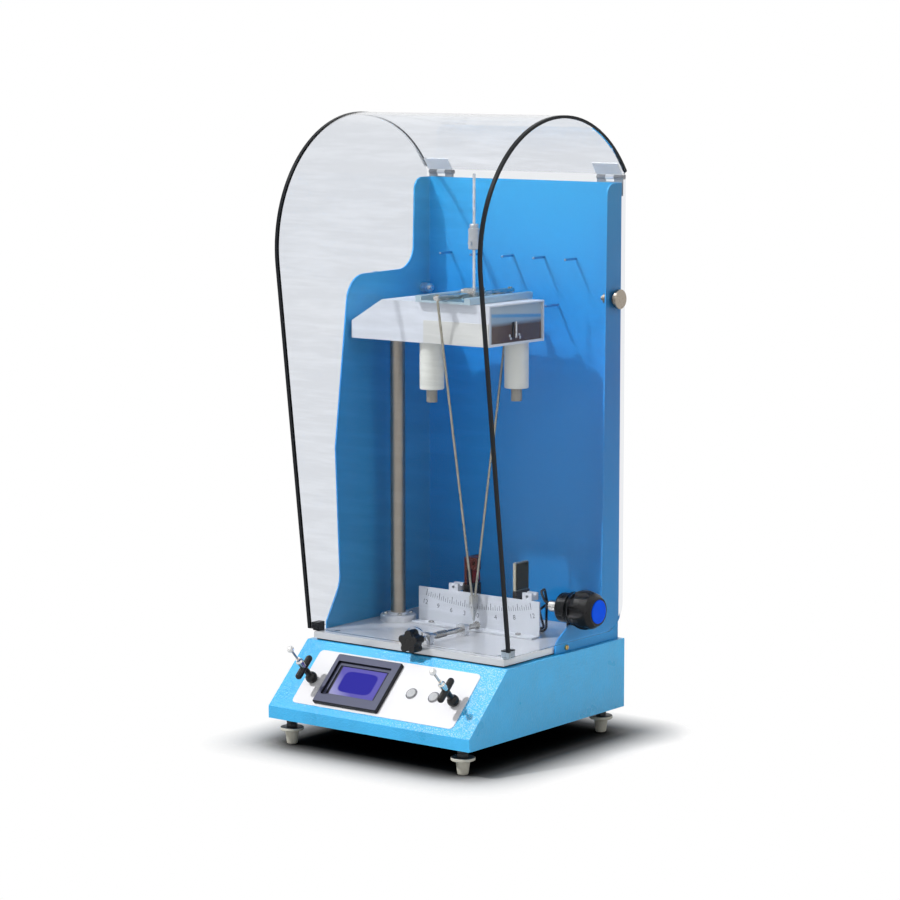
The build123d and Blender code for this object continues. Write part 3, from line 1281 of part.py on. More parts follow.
def main():
    os.makedirs("parts", exist_ok=True)
    save("base_housing", base_housing())
    save("bottom_plate", bottom_plate(), *base_ribs())
    save("deck_gasket", deck_gasket())
    save("deck_plate", deck_plate())
    save("steel_screws", *steel_screws(), *scale_guide_screws())
    save("power_inlet", power_inlet())
    save("power_supply", power_supply())
    for end, y in (("front", -FOOT_Y), ("rear", FOOT_Y)):
        for hand, x in (("left", -FOOT_X), ("right", FOOT_X)):
            save(f"foot_{end}_{hand}", *foot(x, y))
    save("control_overlay", control_overlay())
    save("display_bezel", display_bezel())
    save("display_screen", display_screen())
    save("control_board", control_board())
    save("button_left", button(BUTTON_U[0]))
    save("button_right", button(BUTTON_U[1]))
    save("release_grips", release_grip(-1), release_grip(1))
    save("release_barrels", release_barrel(-1), release_barrel(1))
    save("plunger_left", plunger(-1))
    save("plunger_right", plunger(1))
    save("back_shield", back_shield())
    save("side_windows", side_window(-1), side_window(1))
    save("shield_screws", *shield_screws())
    save("spacer_studs", spacer_stud(-1), spacer_stud(1))
    pegs = [storage_peg(PEG_X0 + k * PEG_PITCH, PEG_Z, PEG_L, PEG_R) for k in range(PEG_COUNT)]
    save("storage_pegs", *pegs, storage_peg(HOOK_X, HOOK_Z, HOOK_L, PEG_R))
    save("hood_sheet", hood_sheet())
    save("hood_trims", hood_trim(-1), hood_trim(1), hood_bumper(-1), hood_bumper(1))
    save("hood_hinge_leaves", *[hood_hinge_leaf(side * HINGE_X) for side in (-1, 1)])
    pins = [hinge_pin(side * HINGE_X) for side in (-1, 1)]
    save("rear_hinge_leaves", *[rear_hinge_leaf(side * HINGE_X) for side in (-1, 1)], *pins)
    save("column", column())
    save("column_flange", column_flange())
    save("head_housing", head_housing())
    save("head_floor", head_floor())
    save("head_side_plate", head_side_plate())
    save("head_end_pane", head_end_pane())
    save("panel_table", panel_table())
    save("test_panel", test_panel())
    save("guide_cylinders", *[guide_cylinder(x, y) for x, y in guide_places()])
    save("lift_springs", *[lift_spring(x, y) for x, y in guide_places()])
    save("lift_rods", *lift_rods())
    save("stirrup_frame", stirrup_frame())
    save("fulcrum_balls", *[Pos(x, y, FULCRUM_Z) * Sphere(BALL_R) for x, y in fulcrum_places()])
    save("cross_beam", cross_beam())
    save("pendulum_rods", pendulum_rod(-1), pendulum_rod(1), pointer())
    save("upper_rod", upper_rod())
    save("counterweight", counterweight(), weight_screw())
    save("scale_plate", scale_plate(), scale_block(PEND_X - BLOCK_REACH), scale_block(SCALE_X1 - BLOCK_INSET))
    save("star_knob", star_knob())
    save("star_shaft", star_shaft())
    save("shaft_bearings", *[shaft_bearing(DECK_Y0 + dy) for dy in (22.0, 92.0)])
    save("gate_bases", gate_base(GATE_X0), gate_base(GATE_X1))
    save("gate_posts", gate_post(GATE_X0, True), gate_post(GATE_X1, False))
    inner = gate_window(GATE_X0 + GATE_T + SLIP, GATE_Y + 11)
    outer = gate_window(GATE_X1 + GATE_T + SLIP, GATE_Y + 1)
    save("gate_windows", inner, outer)
    save("handle_bearing", handle_bearing())
    save("handle_grip", handle_grip())
    save("handle_cap", handle_cap())
    save("handle_spindle", handle_spindle())
    save("cable_gland", cable_gland())
    save("handle_cables", right_lead(), left_lead())


main()
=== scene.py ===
import math

import bmesh
import bpy
from bpy.props import FloatProperty, FloatVectorProperty, IntProperty, PointerProperty
from mathutils import Matrix, Vector


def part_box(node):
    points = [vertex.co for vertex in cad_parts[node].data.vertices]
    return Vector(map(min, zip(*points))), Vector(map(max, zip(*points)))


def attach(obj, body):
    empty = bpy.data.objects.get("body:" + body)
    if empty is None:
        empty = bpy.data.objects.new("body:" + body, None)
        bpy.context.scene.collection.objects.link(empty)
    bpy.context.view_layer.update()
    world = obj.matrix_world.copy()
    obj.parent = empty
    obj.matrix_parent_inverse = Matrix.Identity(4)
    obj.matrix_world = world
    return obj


bl_info = {
    "name": "Pendulum Hardness Tester",
    "version": (1, 0, 0),
    "blender": (4, 5, 0),
    "location": "View3D > Sidebar > Tester",
    "description": "Finishes and fine pieces for a pendulum hardness tester under a clear hood",
    "category": "Object",
}

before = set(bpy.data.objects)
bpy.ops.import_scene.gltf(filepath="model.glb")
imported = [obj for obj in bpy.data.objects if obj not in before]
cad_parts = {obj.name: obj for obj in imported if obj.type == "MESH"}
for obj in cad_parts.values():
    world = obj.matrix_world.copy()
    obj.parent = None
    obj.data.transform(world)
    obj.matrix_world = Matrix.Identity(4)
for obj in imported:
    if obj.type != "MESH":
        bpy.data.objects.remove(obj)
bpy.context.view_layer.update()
MM = 0.001
RIGHT, LEFT, BACK, UP = (1, 0, 0), (-1, 0, 0), (0, 1, 0), (0, 0, 1)

# Places that the boxes of the CAD nodes don't give
SLOPE_START = 15 * MM                   # height of the lip under the sloping panel
SLOPE_RUN = Vector((0.0, 74.5, 71.0))   # the way up the slope
BUTTON_SPOTS = (41.3 * MM, 74.7 * MM)   # to the right of the middle
BUTTON_RISE = 48.5 * MM                 # up the slope
PLUNGER_MOUTH = (0, 45 * MM, 61 * MM)   # where the bright rod leaves its sleeve
SCALE_FRONT = 52 * MM                   # the printed face
SCALE_HEIGHT = 53 * MM                  # from its highest point down to the plate's lower edge
MARK_RISE = 25 * MM                     # from that edge to the marks' feet
FOOT_STUD = 20.6 * MM                   # where the foot's cone ends
SHARP_ANGLE = math.radians(35)

# Colours that no setting changes
BOARD_GREEN = (0.02, 0.16, 0.06, 1.0)
CORE_GREY = (0.12, 0.12, 0.13, 1.0)
GASKET_BLACK = (0.012, 0.014, 0.018, 1.0)
# Painted glint on the tops of the crinkle paint's wrinkles
CRINKLE_GLINT = (0.50, 0.78, 0.95, 1.0)
# Painted highlight on the stud seen on the left side
LEFT_STUD_HIGHLIGHT = (0.80, 0.80, 0.80, 1.0)
# Steel tinted blue: painted reflection of the blue shield in the pegs
PEG_WALL_REFLECTION = (0.32, 0.46, 0.62, 1.0)
ROD_TIP = (0.85, 0.85, 0.84, 1.0)
BUTTON_GREY = (0.52, 0.53, 0.55, 1.0)
RING_GREY = (0.40, 0.40, 0.42, 1.0)
DISPLAY_VIOLET = (0.07, 0.06, 0.29, 1.0)
# Painted light on the display's lower left corner
DISPLAY_CORNER_LIGHT = (0.24, 0.24, 0.42, 1.0)
DISPLAY_BLUE = (0.005, 0.003, 0.21, 1.0)
DISPLAY_BORDER = (0.014, 0.015, 0.02, 1.0)
# Painted shade down the shield, and painted light and shade on its wings
SHIELD_SHADE_MIDDLE = (0.48, 0.72, 0.98, 1.0)
SHIELD_SHADE_BOTTOM = (0.90, 0.80, 0.72, 1.0)
LEFT_WING_LIGHT = (1.8, 0.98, 0.80, 1.0)
RIGHT_WING_SHADE_TOP = (0.60, 0.64, 0.66, 1.0)
RIGHT_WING_SHADE_BOTTOM = (0.40, 1.25, 1.20, 1.0)
HINGE_GREY = (0.30, 0.31, 0.33, 1.0)
HINGE_PALE = (0.92, 0.93, 0.95, 1.0)
TRIM_BLACK = (0.011, 0.013, 0.016, 1.0)
TRIM_FOOT = (0.36, 0.42, 0.47, 1.0)
# Painted highlight on the rear arc of the left trim
TRIM_REAR_HIGHLIGHT = (0.60, 0.62, 0.64, 1.0)
# Painted shade in the window's cut edge round the handle
WINDOW_RIM_SHADE = (0.01, 0.015, 0.02, 1.0)
COVER_WHITE = (0.60, 0.60, 0.57, 1.0)
GUIDE_TIP = (0.30, 0.28, 0.24, 1.0)
GUIDE_WHITE = (0.70, 0.70, 0.64, 1.0)
TABLE_GREY = (0.50, 0.56, 0.60, 1.0)
RAIL_GREY = (0.44, 0.55, 0.60, 1.0)
PANEL_GLASS = (0.80, 0.93, 0.90, 1.0)
# Painted reflection and painted shade on the head's end pane
PANE_REFLECTION_BLUE = (0.26, 0.38, 0.50, 1.0)
PANE_REFLECTION_STREAK = (0.10, 0.30, 0.56, 1.0)
PANE_REFLECTION_TOP = (0.36, 0.44, 0.50, 1.0)
PANE_SHADE_BROWN = (0.085, 0.055, 0.048, 1.0)
PANE_EDGE = (0.40, 0.46, 0.52, 1.0)
PIN_GREY = (0.70, 0.70, 0.70, 1.0)
POINTER_END = (0.60, 0.61, 0.60, 1.0)
UPPER_ROD = (0.66, 0.68, 0.70, 1.0)
WEIGHT_GREY = (0.48, 0.50, 0.52, 1.0)
BALL_GREY = (0.75, 0.75, 0.75, 1.0)
GATE_BRASS = (0.50, 0.48, 0.38, 1.0)
GATE_RED = (0.085, 0.020, 0.016, 1.0)
COVER_RED = (0.16, 0.012, 0.010, 1.0)
COVER_BLACK = (0.024, 0.024, 0.016, 1.0)
LEAD_BLACK = (0.010, 0.010, 0.012, 1.0)
STUD_DARK = (0.05, 0.055, 0.06, 1.0)
CARD_GREY = (0.06, 0.06, 0.065, 1.0)


def colour(name, description, default):
    return FloatVectorProperty(name=name, description=description, default=default, size=4,
                               min=0.0, max=1.0, subtype="COLOR")


def length(name, description, default):
    return FloatProperty(name=name, description=description, default=default, min=0.0,
                         subtype="DISTANCE", unit="LENGTH")


def strength(name, description, default):
    return FloatProperty(name=name, description=description, default=default, min=0.0)


# Settings a user would change
class TESTER_PG_paint(bpy.types.PropertyGroup):
    """Colours of the painted and moulded parts."""

    cabinet: colour("Cabinet blue", "Crinkle paint on the base housing", (0.050, 0.50, 0.93, 1.0))
    shield: colour("Shield blue", "Smooth paint on the rear shield", (0.040, 0.38, 0.74, 1.0))
    head: colour("Head white", "Smooth paint on the head and the scale", (0.63, 0.655, 0.70, 1.0))
    panel: colour("Panel white", "Film on the control panel", (0.87, 0.87, 0.90, 1.0))
    bezel: colour("Bezel grey", "Moulded frame round the display", (0.082, 0.09, 0.155, 1.0))
    black: colour("Moulded black", "Knobs, grips and bearings", (0.011, 0.011, 0.012, 1.0))
    cap: colour("Cap blue", "Cap in the end of the side handle", (0.0, 0.10, 0.95, 1.0))
    cone: colour("Foot white", "Turned cone of a levelling foot", (0.66, 0.64, 0.55, 1.0))
    crinkle: length("Crinkle size", "Width of one wrinkle in the cabinet paint", 0.0021)


class TESTER_PG_metal(bpy.types.PropertyGroup):
    """Colours and grain of the bare metals."""

    steel: colour("Steel", "Ground and polished steel", (0.62, 0.60, 0.57, 1.0))
    column: colour("Column steel", "Satin steel of the column", (0.37, 0.325, 0.27, 1.0))
    deck: colour("Deck aluminium", "Milled face of the deck plate", (0.62, 0.63, 0.65, 1.0))
    wire: colour("Pendulum rod", "Drawn rods of the pendulum", (0.40, 0.37, 0.30, 1.0))
    brass: colour("Brass", "Plated screws of the shield", (0.62, 0.44, 0.16, 1.0))
    brush: length("Brush line", "Width of a brush line", 0.00025)


class TESTER_PG_clear(bpy.types.PropertyGroup):
    """The clear plastic of the hood and windows."""

    tint: colour("Sheet tint", "Slight tint of the clear sheets", (0.84, 0.855, 0.88, 1.0))
    shade: FloatProperty(name="Shade",
                         description="Share of light that one face of a clear sheet holds back",
                         default=0.03, min=0.0, max=1.0, subtype="FACTOR")


class TESTER_PG_marks(bpy.types.PropertyGroup):
    """Printed marks of the scale."""

    ink: colour("Ink", "Colour of the printed marks", (0.095, 0.10, 0.115, 1.0))
    numeral: length("Numeral height", "Height of the scale's numbers", 0.0084)
    reach: FloatProperty(name="Scale reach",
                         description="Angle that the scale shows either side of its zero",
                         default=math.radians(12.0), min=0.0, subtype="ANGLE", unit="ROTATION")
    steps: IntProperty(name="Steps", description="Marks per degree", default=2, min=1, max=10)


class TESTER_PG_stage(bpy.types.PropertyGroup):
    """Floor, lamps and camera."""

    floor: colour("Floor", "Pale floor under the tester", (0.96, 0.96, 0.96, 1.0))
    key: strength("Key lamp", "Strength of the key lamp", 2.15)
    fill: strength("Fill lamp", "Strength of the fill lamp", 0.2)
    sky: strength("Sky", "Strength of the even light from all round", 0.38)
    lens: FloatProperty(name="Lens", description="Focal length of the camera in millimetres",
                        default=122.9, min=1.0)


SETTINGS = {"paint": TESTER_PG_paint, "metal": TESTER_PG_metal, "clear": TESTER_PG_clear,
            "marks": TESTER_PG_marks, "stage": TESTER_PG_stage}


def settings(group):
    return getattr(bpy.context.scene, "tester_" + group)


# Shared effects
HEIGHT_AND_TONE = (("NodeSocketFloat", "Height"), ("NodeSocketFloat", "Tone"))


def effect(name, inputs, outputs):
    """A shader node group with named sockets, and its end nodes."""
    tree = bpy.data.node_groups.new(name, "ShaderNodeTree")
    for kind, label, value in inputs:
        socket = tree.interface.new_socket(name=label, in_out="INPUT", socket_type=kind)
        socket.default_value = value
    for kind, label in outputs:
        tree.interface.new_socket(name=label, in_out="OUTPUT", socket_type=kind)
    return tree, tree.nodes.new("NodeGroupInput"), tree.nodes.new("NodeGroupOutput")


def math_node(tree, operation, a, b=None, clamp=False):
    node = tree.nodes.new("ShaderNodeMath")
    node.operation = operation
    node.use_clamp = clamp
    for socket, value in zip(node.inputs, (a, b)):
        if value is None:
            continue
        if isinstance(value, (int, float)):
            socket.default_value = value
        else:
            tree.links.new(value, socket)
    return node.outputs[0]


def ranged(tree, value, low, high, to_low=0.0, to_high=1.0):
    node = tree.nodes.new("ShaderNodeMapRange")
    tree.links.new(value, node.inputs["Value"])
    for label, number in (("From Min", low), ("From Max", high), ("To Min", to_low), ("To Max", to_high)):
        node.inputs[label].default_value = number
    return node.outputs["Result"]


def place_vector(tree, stretch=None):
    """Object coordinates, which stay with the piece when it moves."""
    place = tree.nodes.new("ShaderNodeTexCoord").outputs["Object"]
    if stretch is None:
        return place
    node = tree.nodes.new("ShaderNodeVectorMath")
    node.operation = "MULTIPLY"
    tree.links.new(place, node.inputs[0])
    tree.links.new(stretch, node.inputs[1])
    return node.outputs[0]


def noise(tree, vector, scale, detail=3.0, rough=0.55):
    node = tree.nodes.new("ShaderNodeTexNoise")
    tree.links.new(vector, node.inputs["Vector"])
    tree.links.new(scale, node.inputs["Scale"])
    node.inputs["Detail"].default_value = detail
    node.inputs["Roughness"].default_value = rough
    return node.outputs["Fac"]


def make_grain():
    """Fine relief, with broad patches for the tone."""
    tree, start, end = effect("Fine grain", (("NodeSocketFloat", "Size", 0.001),), HEIGHT_AND_TONE)
    scale = math_node(tree, "DIVIDE", 1.0, start.outputs["Size"])
    patches = math_node(tree, "DIVIDE", scale, 30.0)
    tree.links.new(noise(tree, place_vector(tree), scale, 4.0), end.inputs["Height"])
    tree.links.new(noise(tree, place_vector(tree), patches, 2.0), end.inputs["Tone"])


def make_crinkle():
    """Rounded cells bent by a coarser noise."""
    tree, start, end = effect("Crinkle paint", (("NodeSocketFloat", "Size", 0.001),), HEIGHT_AND_TONE)
    scale = math_node(tree, "DIVIDE", 1.0, start.outputs["Size"])
    cells = tree.nodes.new("ShaderNodeTexVoronoi")
    cells.feature = "SMOOTH_F1"
    cells.inputs["Smoothness"].default_value = 0.7
    tree.links.new(place_vector(tree), cells.inputs["Vector"])
    tree.links.new(scale, cells.inputs["Scale"])
    warp = noise(tree, place_vector(tree), math_node(tree, "MULTIPLY", scale, 0.6), 2.0)
    height = math_node(tree, "ADD", cells.outputs["Distance"], math_node(tree, "MULTIPLY", warp, 0.8))
    patches = math_node(tree, "DIVIDE", scale, 25.0)
    tree.links.new(height, end.inputs["Height"])
    tree.links.new(noise(tree, place_vector(tree), patches), end.inputs["Tone"])


def make_brush():
    """Lines that run along the axis with the smallest stretch."""
    tree, start, end = effect("Brush lines", (("NodeSocketFloat", "Size", 0.00025),
                                              ("NodeSocketVector", "Stretch", (1.0, 1.0, 1.0))),
                              HEIGHT_AND_TONE)
    scale = math_node(tree, "DIVIDE", 1.0, start.outputs["Size"])
    place = place_vector(tree, start.outputs["Stretch"])
    patches = math_node(tree, "DIVIDE", scale, 9.0)
    tree.links.new(noise(tree, place, scale, 3.0, 0.7), end.inputs["Height"])
    tree.links.new(noise(tree, place, patches, 2.0), end.inputs["Tone"])


def make_edge():
    """A broken mask along convex and concave edges."""
    tree, start, end = effect("Edge wear", (("NodeSocketFloat", "Width", 0.0006),
                                            ("NodeSocketFloat", "Break", 0.004)),
                              (("NodeSocketFloat", "Mask"),))
    bevel = tree.nodes.new("ShaderNodeBevel")
    bevel.samples = 4
    tree.links.new(start.outputs["Width"], bevel.inputs["Radius"])
    geometry = tree.nodes.new("ShaderNodeNewGeometry")
    dot = tree.nodes.new("ShaderNodeVectorMath")
    dot.operation = "DOT_PRODUCT"
    tree.links.new(bevel.outputs["Normal"], dot.inputs[0])
    tree.links.new(geometry.outputs["Normal"], dot.inputs[1])
    edge = ranged(tree, dot.outputs["Value"], 0.94, 0.72)
    breaks = noise(tree, place_vector(tree), math_node(tree, "DIVIDE", 1.0, start.outputs["Break"]))
    patches = ranged(tree, breaks, 0.42, 0.62)
    tree.links.new(math_node(tree, "MULTIPLY", edge, patches, True), end.inputs["Mask"])


# Materials
def use(tree, name, **values):
    node = tree.nodes.new("ShaderNodeGroup")
    node.node_tree = bpy.data.node_groups[name]
    for label, value in values.items():
        node.inputs[label.capitalize()].default_value = value
    return node


def mixed(tree, factor, a, b):
    """A colour mixed between two, each a colour or an output."""
    node = tree.nodes.new("ShaderNodeMix")
    node.data_type = "RGBA"
    if isinstance(factor, (int, float)):
        node.inputs["Factor"].default_value = factor
    else:
        tree.links.new(factor, node.inputs["Factor"])
    for label, value in (("A", a), ("B", b)):
        socket = [s for s in node.inputs if s.name == label and s.type == "RGBA"][0]
        if hasattr(value, "is_output"):
            tree.links.new(value, socket)
        else:
            socket.default_value = tuple(value)
    return [s for s in node.outputs if s.type == "RGBA"][0]


def scaled(rgba, factor):
    return tuple(min(1.0, value * factor) for value in rgba[:3]) + (1.0,)


def blank(name):
    material = bpy.data.materials.new(name)
    material.use_nodes = True
    tree = material.node_tree
    tree.nodes.clear()
    out = tree.nodes.new("ShaderNodeOutputMaterial")
    shader = tree.nodes.new("ShaderNodeBsdfPrincipled")
    tree.links.new(shader.outputs["BSDF"], out.inputs["Surface"])
    return material, tree, shader


def dress(tree, shader, rgba, texture, rough, drift, depth, worn=None):
    """Colour drift, roughness, relief and worn edges round one texture group."""
    tone = texture.outputs["Tone"]
    base = mixed(tree, ranged(tree, tone, 0.3, 0.7), scaled(rgba, 1.0 - drift), scaled(rgba, 1.0 + drift))
    if worn is not None:
        base = mixed(tree, use(tree, "Edge wear").outputs["Mask"], base, worn)
    bump = tree.nodes.new("ShaderNodeBump")
    bump.inputs["Distance"].default_value = depth
    bump.inputs["Strength"].default_value = 1.0
    tree.links.new(texture.outputs["Height"], bump.inputs["Height"])
    tree.links.new(bump.outputs["Normal"], shader.inputs["Normal"])
    tree.links.new(base, shader.inputs["Base Color"])
    tree.links.new(ranged(tree, tone, 0.3, 0.7, *rough), shader.inputs["Roughness"])
    return base


def painted(name, rgba, size, depth, rough, effect_name="Fine grain", coat=0.0, worn=True, drift=0.02,
            gloss=0.35):
    material, tree, shader = blank(name)
    texture = use(tree, effect_name, size=size)
    dress(tree, shader, rgba, texture, rough, drift, depth, scaled(rgba, 1.3) if worn else None)
    shader.inputs["Specular IOR Level"].default_value = gloss
    shader.inputs["Coat Weight"].default_value = coat
    shader.inputs["Coat Roughness"].default_value = 0.12
    return material


def moulded(name, rgba, rough=(0.35, 0.5), depth=0.04 * MM, size=0.7 * MM, gloss=0.3, drift=0.04):
    material, tree, shader = blank(name)
    dress(tree, shader, rgba, use(tree, "Fine grain", size=size), rough, drift, depth)
    shader.inputs["Specular IOR Level"].default_value = gloss
    return material


def bare_metal(name, rgba, stretch=(1, 1, 1), rough=(0.22, 0.34), depth=0.003 * MM, metallic=1.0):
    """Brushed metal: its lines run along the axis with the smallest stretch."""
    material, tree, shader = blank(name)
    texture = use(tree, "Brush lines", size=settings("metal").brush, stretch=stretch)
    dress(tree, shader, rgba, texture, rough, 0.03, depth, scaled(rgba, 1.15))
    shader.inputs["Metallic"].default_value = metallic
    return material


def object_axis(tree, axis):
    """How far a point lies along a direction, in the piece's own place."""
    dot = tree.nodes.new("ShaderNodeVectorMath")
    dot.operation = "DOT_PRODUCT"
    tree.links.new(place_vector(tree), dot.inputs[0])
    dot.inputs[1].default_value = axis
    return dot.outputs["Value"]


def above(tree, axis, level):
    """1 beyond a level along a direction, with a border of 0.2 mm."""
    return ranged(tree, object_axis(tree, axis), level - 0.1 * MM, level + 0.1 * MM)


def facing(tree, direction):
    """1 on the faces that look along a direction."""
    dot = tree.nodes.new("ShaderNodeVectorMath")
    dot.operation = "DOT_PRODUCT"
    tree.links.new(tree.nodes.new("ShaderNodeNewGeometry").outputs["Normal"], dot.inputs[0])
    dot.inputs[1].default_value = direction
    return ranged(tree, dot.outputs["Value"], 0.8, 0.9)


def slope_normal():
    return slope_pose(0, 0).to_3x3() @ Vector(UP)


def clear_sheet(name, tint, rough=0.002, shade=None):
    """Clear plastic that lets shadow rays through, with faint smears in its gloss."""
    material, tree, shader = blank(name)
    tone = use(tree, "Fine grain", size=4 * MM).outputs["Tone"]
    tree.links.new(ranged(tree, tone, 0.35, 0.8, rough, rough + 0.01), shader.inputs["Roughness"])
    shader.inputs["Base Color"].default_value = tint
    shader.inputs["IOR"].default_value = 1.12
    shader.inputs["Transmission Weight"].default_value = 1.0
    path = tree.nodes.new("ShaderNodeLightPath")
    hold = settings("clear").shade if shade is None else shade
    alpha = ranged(tree, path.outputs["Is Shadow Ray"], 0.0, 1.0, 1.0, hold)
    tree.links.new(alpha, shader.inputs["Alpha"])
    return material


def two_tone(name, low, high, axis, level, rough=(0.3, 0.45), metal=(0.0, 0.0), depth=0.01 * MM, gloss=0.4):
    """One material for a piece whose two halves are finished differently."""
    material, tree, shader = blank(name)
    base = dress(tree, shader, low, use(tree, "Fine grain", size=0.6 * MM), rough, 0.07, depth)
    mask = above(tree, axis, level)
    tree.links.new(mixed(tree, mask, base, high), shader.inputs["Base Color"])
    tree.links.new(ranged(tree, mask, 0.0, 1.0, *metal), shader.inputs["Metallic"])
    shader.inputs["Specular IOR Level"].default_value = gloss
    return material


def recolour(material, mask, rgba, multiply=False):
    """Lay a second colour over the base colour where the mask is 1."""
    tree = material.node_tree
    socket = tree.nodes["Principled BSDF"].inputs["Base Color"]
    under = socket.links[0].from_socket if socket.links else tuple(socket.default_value)
    top = mixed(tree, mask, under, rgba)
    if multiply:
        top.node.blend_type = "MULTIPLY"
    tree.links.new(top, socket)


def finish(material, *names):
    """Give CAD nodes a material in the slots they already have."""
    for name in names:
        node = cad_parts[name]
        if not node.material_slots:
            node.data.materials.append(material)
        for slot in node.material_slots:
            slot.material = material


# Mesh helpers
def piece(name, mesh, body, material, smooth=True):
    thing = bpy.data.objects.new(name, mesh)
    bpy.context.scene.collection.objects.link(thing)
    mesh.materials.append(material)
    if smooth:
        mesh.shade_smooth()
        mesh.set_sharp_from_angle(angle=SHARP_ANGLE)
    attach(thing, body)


def mesh_from(bm, name):
    bmesh.ops.recalc_face_normals(bm, faces=bm.faces)
    mesh = bpy.data.meshes.new(name)
    bm.to_mesh(mesh)
    bm.free()
    return mesh


def add_box(bm, low, high, turn=None):
    """A closed box between two corners, turned about the origin if asked."""
    points = [Vector((x, y, z)) for x in (low[0], high[0]) for y in (low[1], high[1])
              for z in (low[2], high[2])]
    if turn is not None:
        points = [turn @ p for p in points]
    v = [bm.verts.new(p) for p in points]
    for face in ((0, 1, 3, 2), (4, 6, 7, 5), (0, 4, 5, 1), (2, 3, 7, 6), (0, 2, 6, 4), (1, 5, 7, 3)):
        bm.faces.new([v[k] for k in face])


def add_ring(bm, pose, profile, steps=48):
    """A profile of (radius, height) points turned round the pose's own Z axis."""
    rings = []
    for k in range(steps):
        turn = Matrix.Rotation(math.tau * k / steps, 4, "Z")
        rings.append([bm.verts.new(pose @ turn @ Vector((r, 0, z))) for r, z in profile])
    count = len(profile)
    for k in range(steps):
        a, b = rings[k], rings[(k + 1) % steps]
        for j in range(count):
            bm.faces.new((a[j], b[j], b[(j + 1) % count], a[(j + 1) % count]))


def slope_pose(u, v, n=0.0):
    """A place on the sloping panel: u to the right, v up the slope, n out of it."""
    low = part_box("base_housing")[0]
    foot = Vector((0.0, low.y, low.z + SLOPE_START))
    rise = SLOPE_RUN.normalized()
    normal = Vector((0.0, -rise.z, rise.y))
    turn = Matrix(((1, 0, 0), (0, rise.y, normal.y), (0, rise.z, normal.z))).to_4x4()
    return Matrix.Translation(foot + Vector(RIGHT) * u + rise * v + normal * n) @ turn


class Maker:
    """Shared base of the operators."""

    bl_options = {"REGISTER", "UNDO"}


class TESTER_OT_effects(Maker, bpy.types.Operator):
    """Build the shared grain, crinkle, brush and wear groups"""

    bl_idname = "tester.effects"
    bl_label = "Shared effects"

    def execute(self, context):
        for build in (make_grain, make_crinkle, make_brush, make_edge):
            build()
        return {"FINISHED"}


class TESTER_OT_cabinet(Maker, bpy.types.Operator):
    """Paint the base housing and finish what is fixed in it"""

    bl_idname = "tester.cabinet"
    bl_label = "Cabinet"

    def execute(self, context):
        paint = settings("paint")
        crinkle = painted("Crinkle blue", paint.cabinet, paint.crinkle, 0.42 * MM, (0.26, 0.40),
                          "Crinkle paint", coat=0.2, drift=0.07)
        self.burnish(crinkle)
        finish(crinkle, "base_housing", "bottom_plate")
        finish(moulded("Inlet black", paint.black), "power_inlet")
        finish(moulded("Board green", BOARD_GREEN), "control_board")
        finish(bare_metal("Core laminations", CORE_GREY, (1, 60, 1), (0.5, 0.6)), "power_supply")
        finish(moulded("Gasket rubber", GASKET_BLACK, (0.6, 0.75)), "deck_gasket")
        return {"FINISHED"}

    def burnish(self, material):
        """Painted glints: paler tops on the wrinkles of the slope, more of them to the right, where the
        light glances off the paint.
        """
        tree = material.node_tree
        tops = ranged(tree, use(tree, "Fine grain", size=1.7 * MM).outputs["Height"], 0.50, 0.60)
        share = ranged(tree, object_axis(tree, RIGHT), -60 * MM, 120 * MM, 0.0, 0.65)
        slope = math_node(tree, "MULTIPLY", share, facing(tree, slope_normal()))
        # the paler wrinkle tops are a painted glint, not a change in the paint
        recolour(material, math_node(tree, "MULTIPLY", tops, slope), CRINKLE_GLINT)


class TESTER_OT_deck(Maker, bpy.types.Operator):
    """Finish the milled deck plate, the column's flange, the fasteners and the pegs"""

    bl_idname = "tester.deck"
    bl_label = "Deck plate"

    def execute(self, context):
        metal = settings("metal")
        finish(bare_metal("Milled deck", scaled(metal.deck, 1.02), (0.02, 1, 1), (0.14, 0.20),
                          depth=0.0004 * MM, metallic=0.3), "deck_plate")
        finish(bare_metal("Turned flange", scaled(metal.deck, 1.05), (1, 1, 0.2), (0.42, 0.5),
                          metallic=0.4), "column_flange")
        finish(bare_metal("Screw steel", metal.steel, rough=(0.18, 0.28)), "steel_screws")
        studs = bare_metal("Stud steel", scaled(metal.column, 0.95), rough=(0.26, 0.32))
        # painted highlight: the stud on the left is paler, standing in for the light its steel reflects
        recolour(studs, above(studs.node_tree, LEFT, 0.0), LEFT_STUD_HIGHLIGHT)
        finish(studs, "spacer_studs")
        # the pegs' blue is a painted reflection of the shield in their steel
        finish(bare_metal("Peg steel", PEG_WALL_REFLECTION, rough=(0.14, 0.2)), "storage_pegs")
        finish(bare_metal("Plated brass", scaled(metal.brass, 0.8), rough=(0.2, 0.3)), "shield_screws")
        return {"FINISHED"}


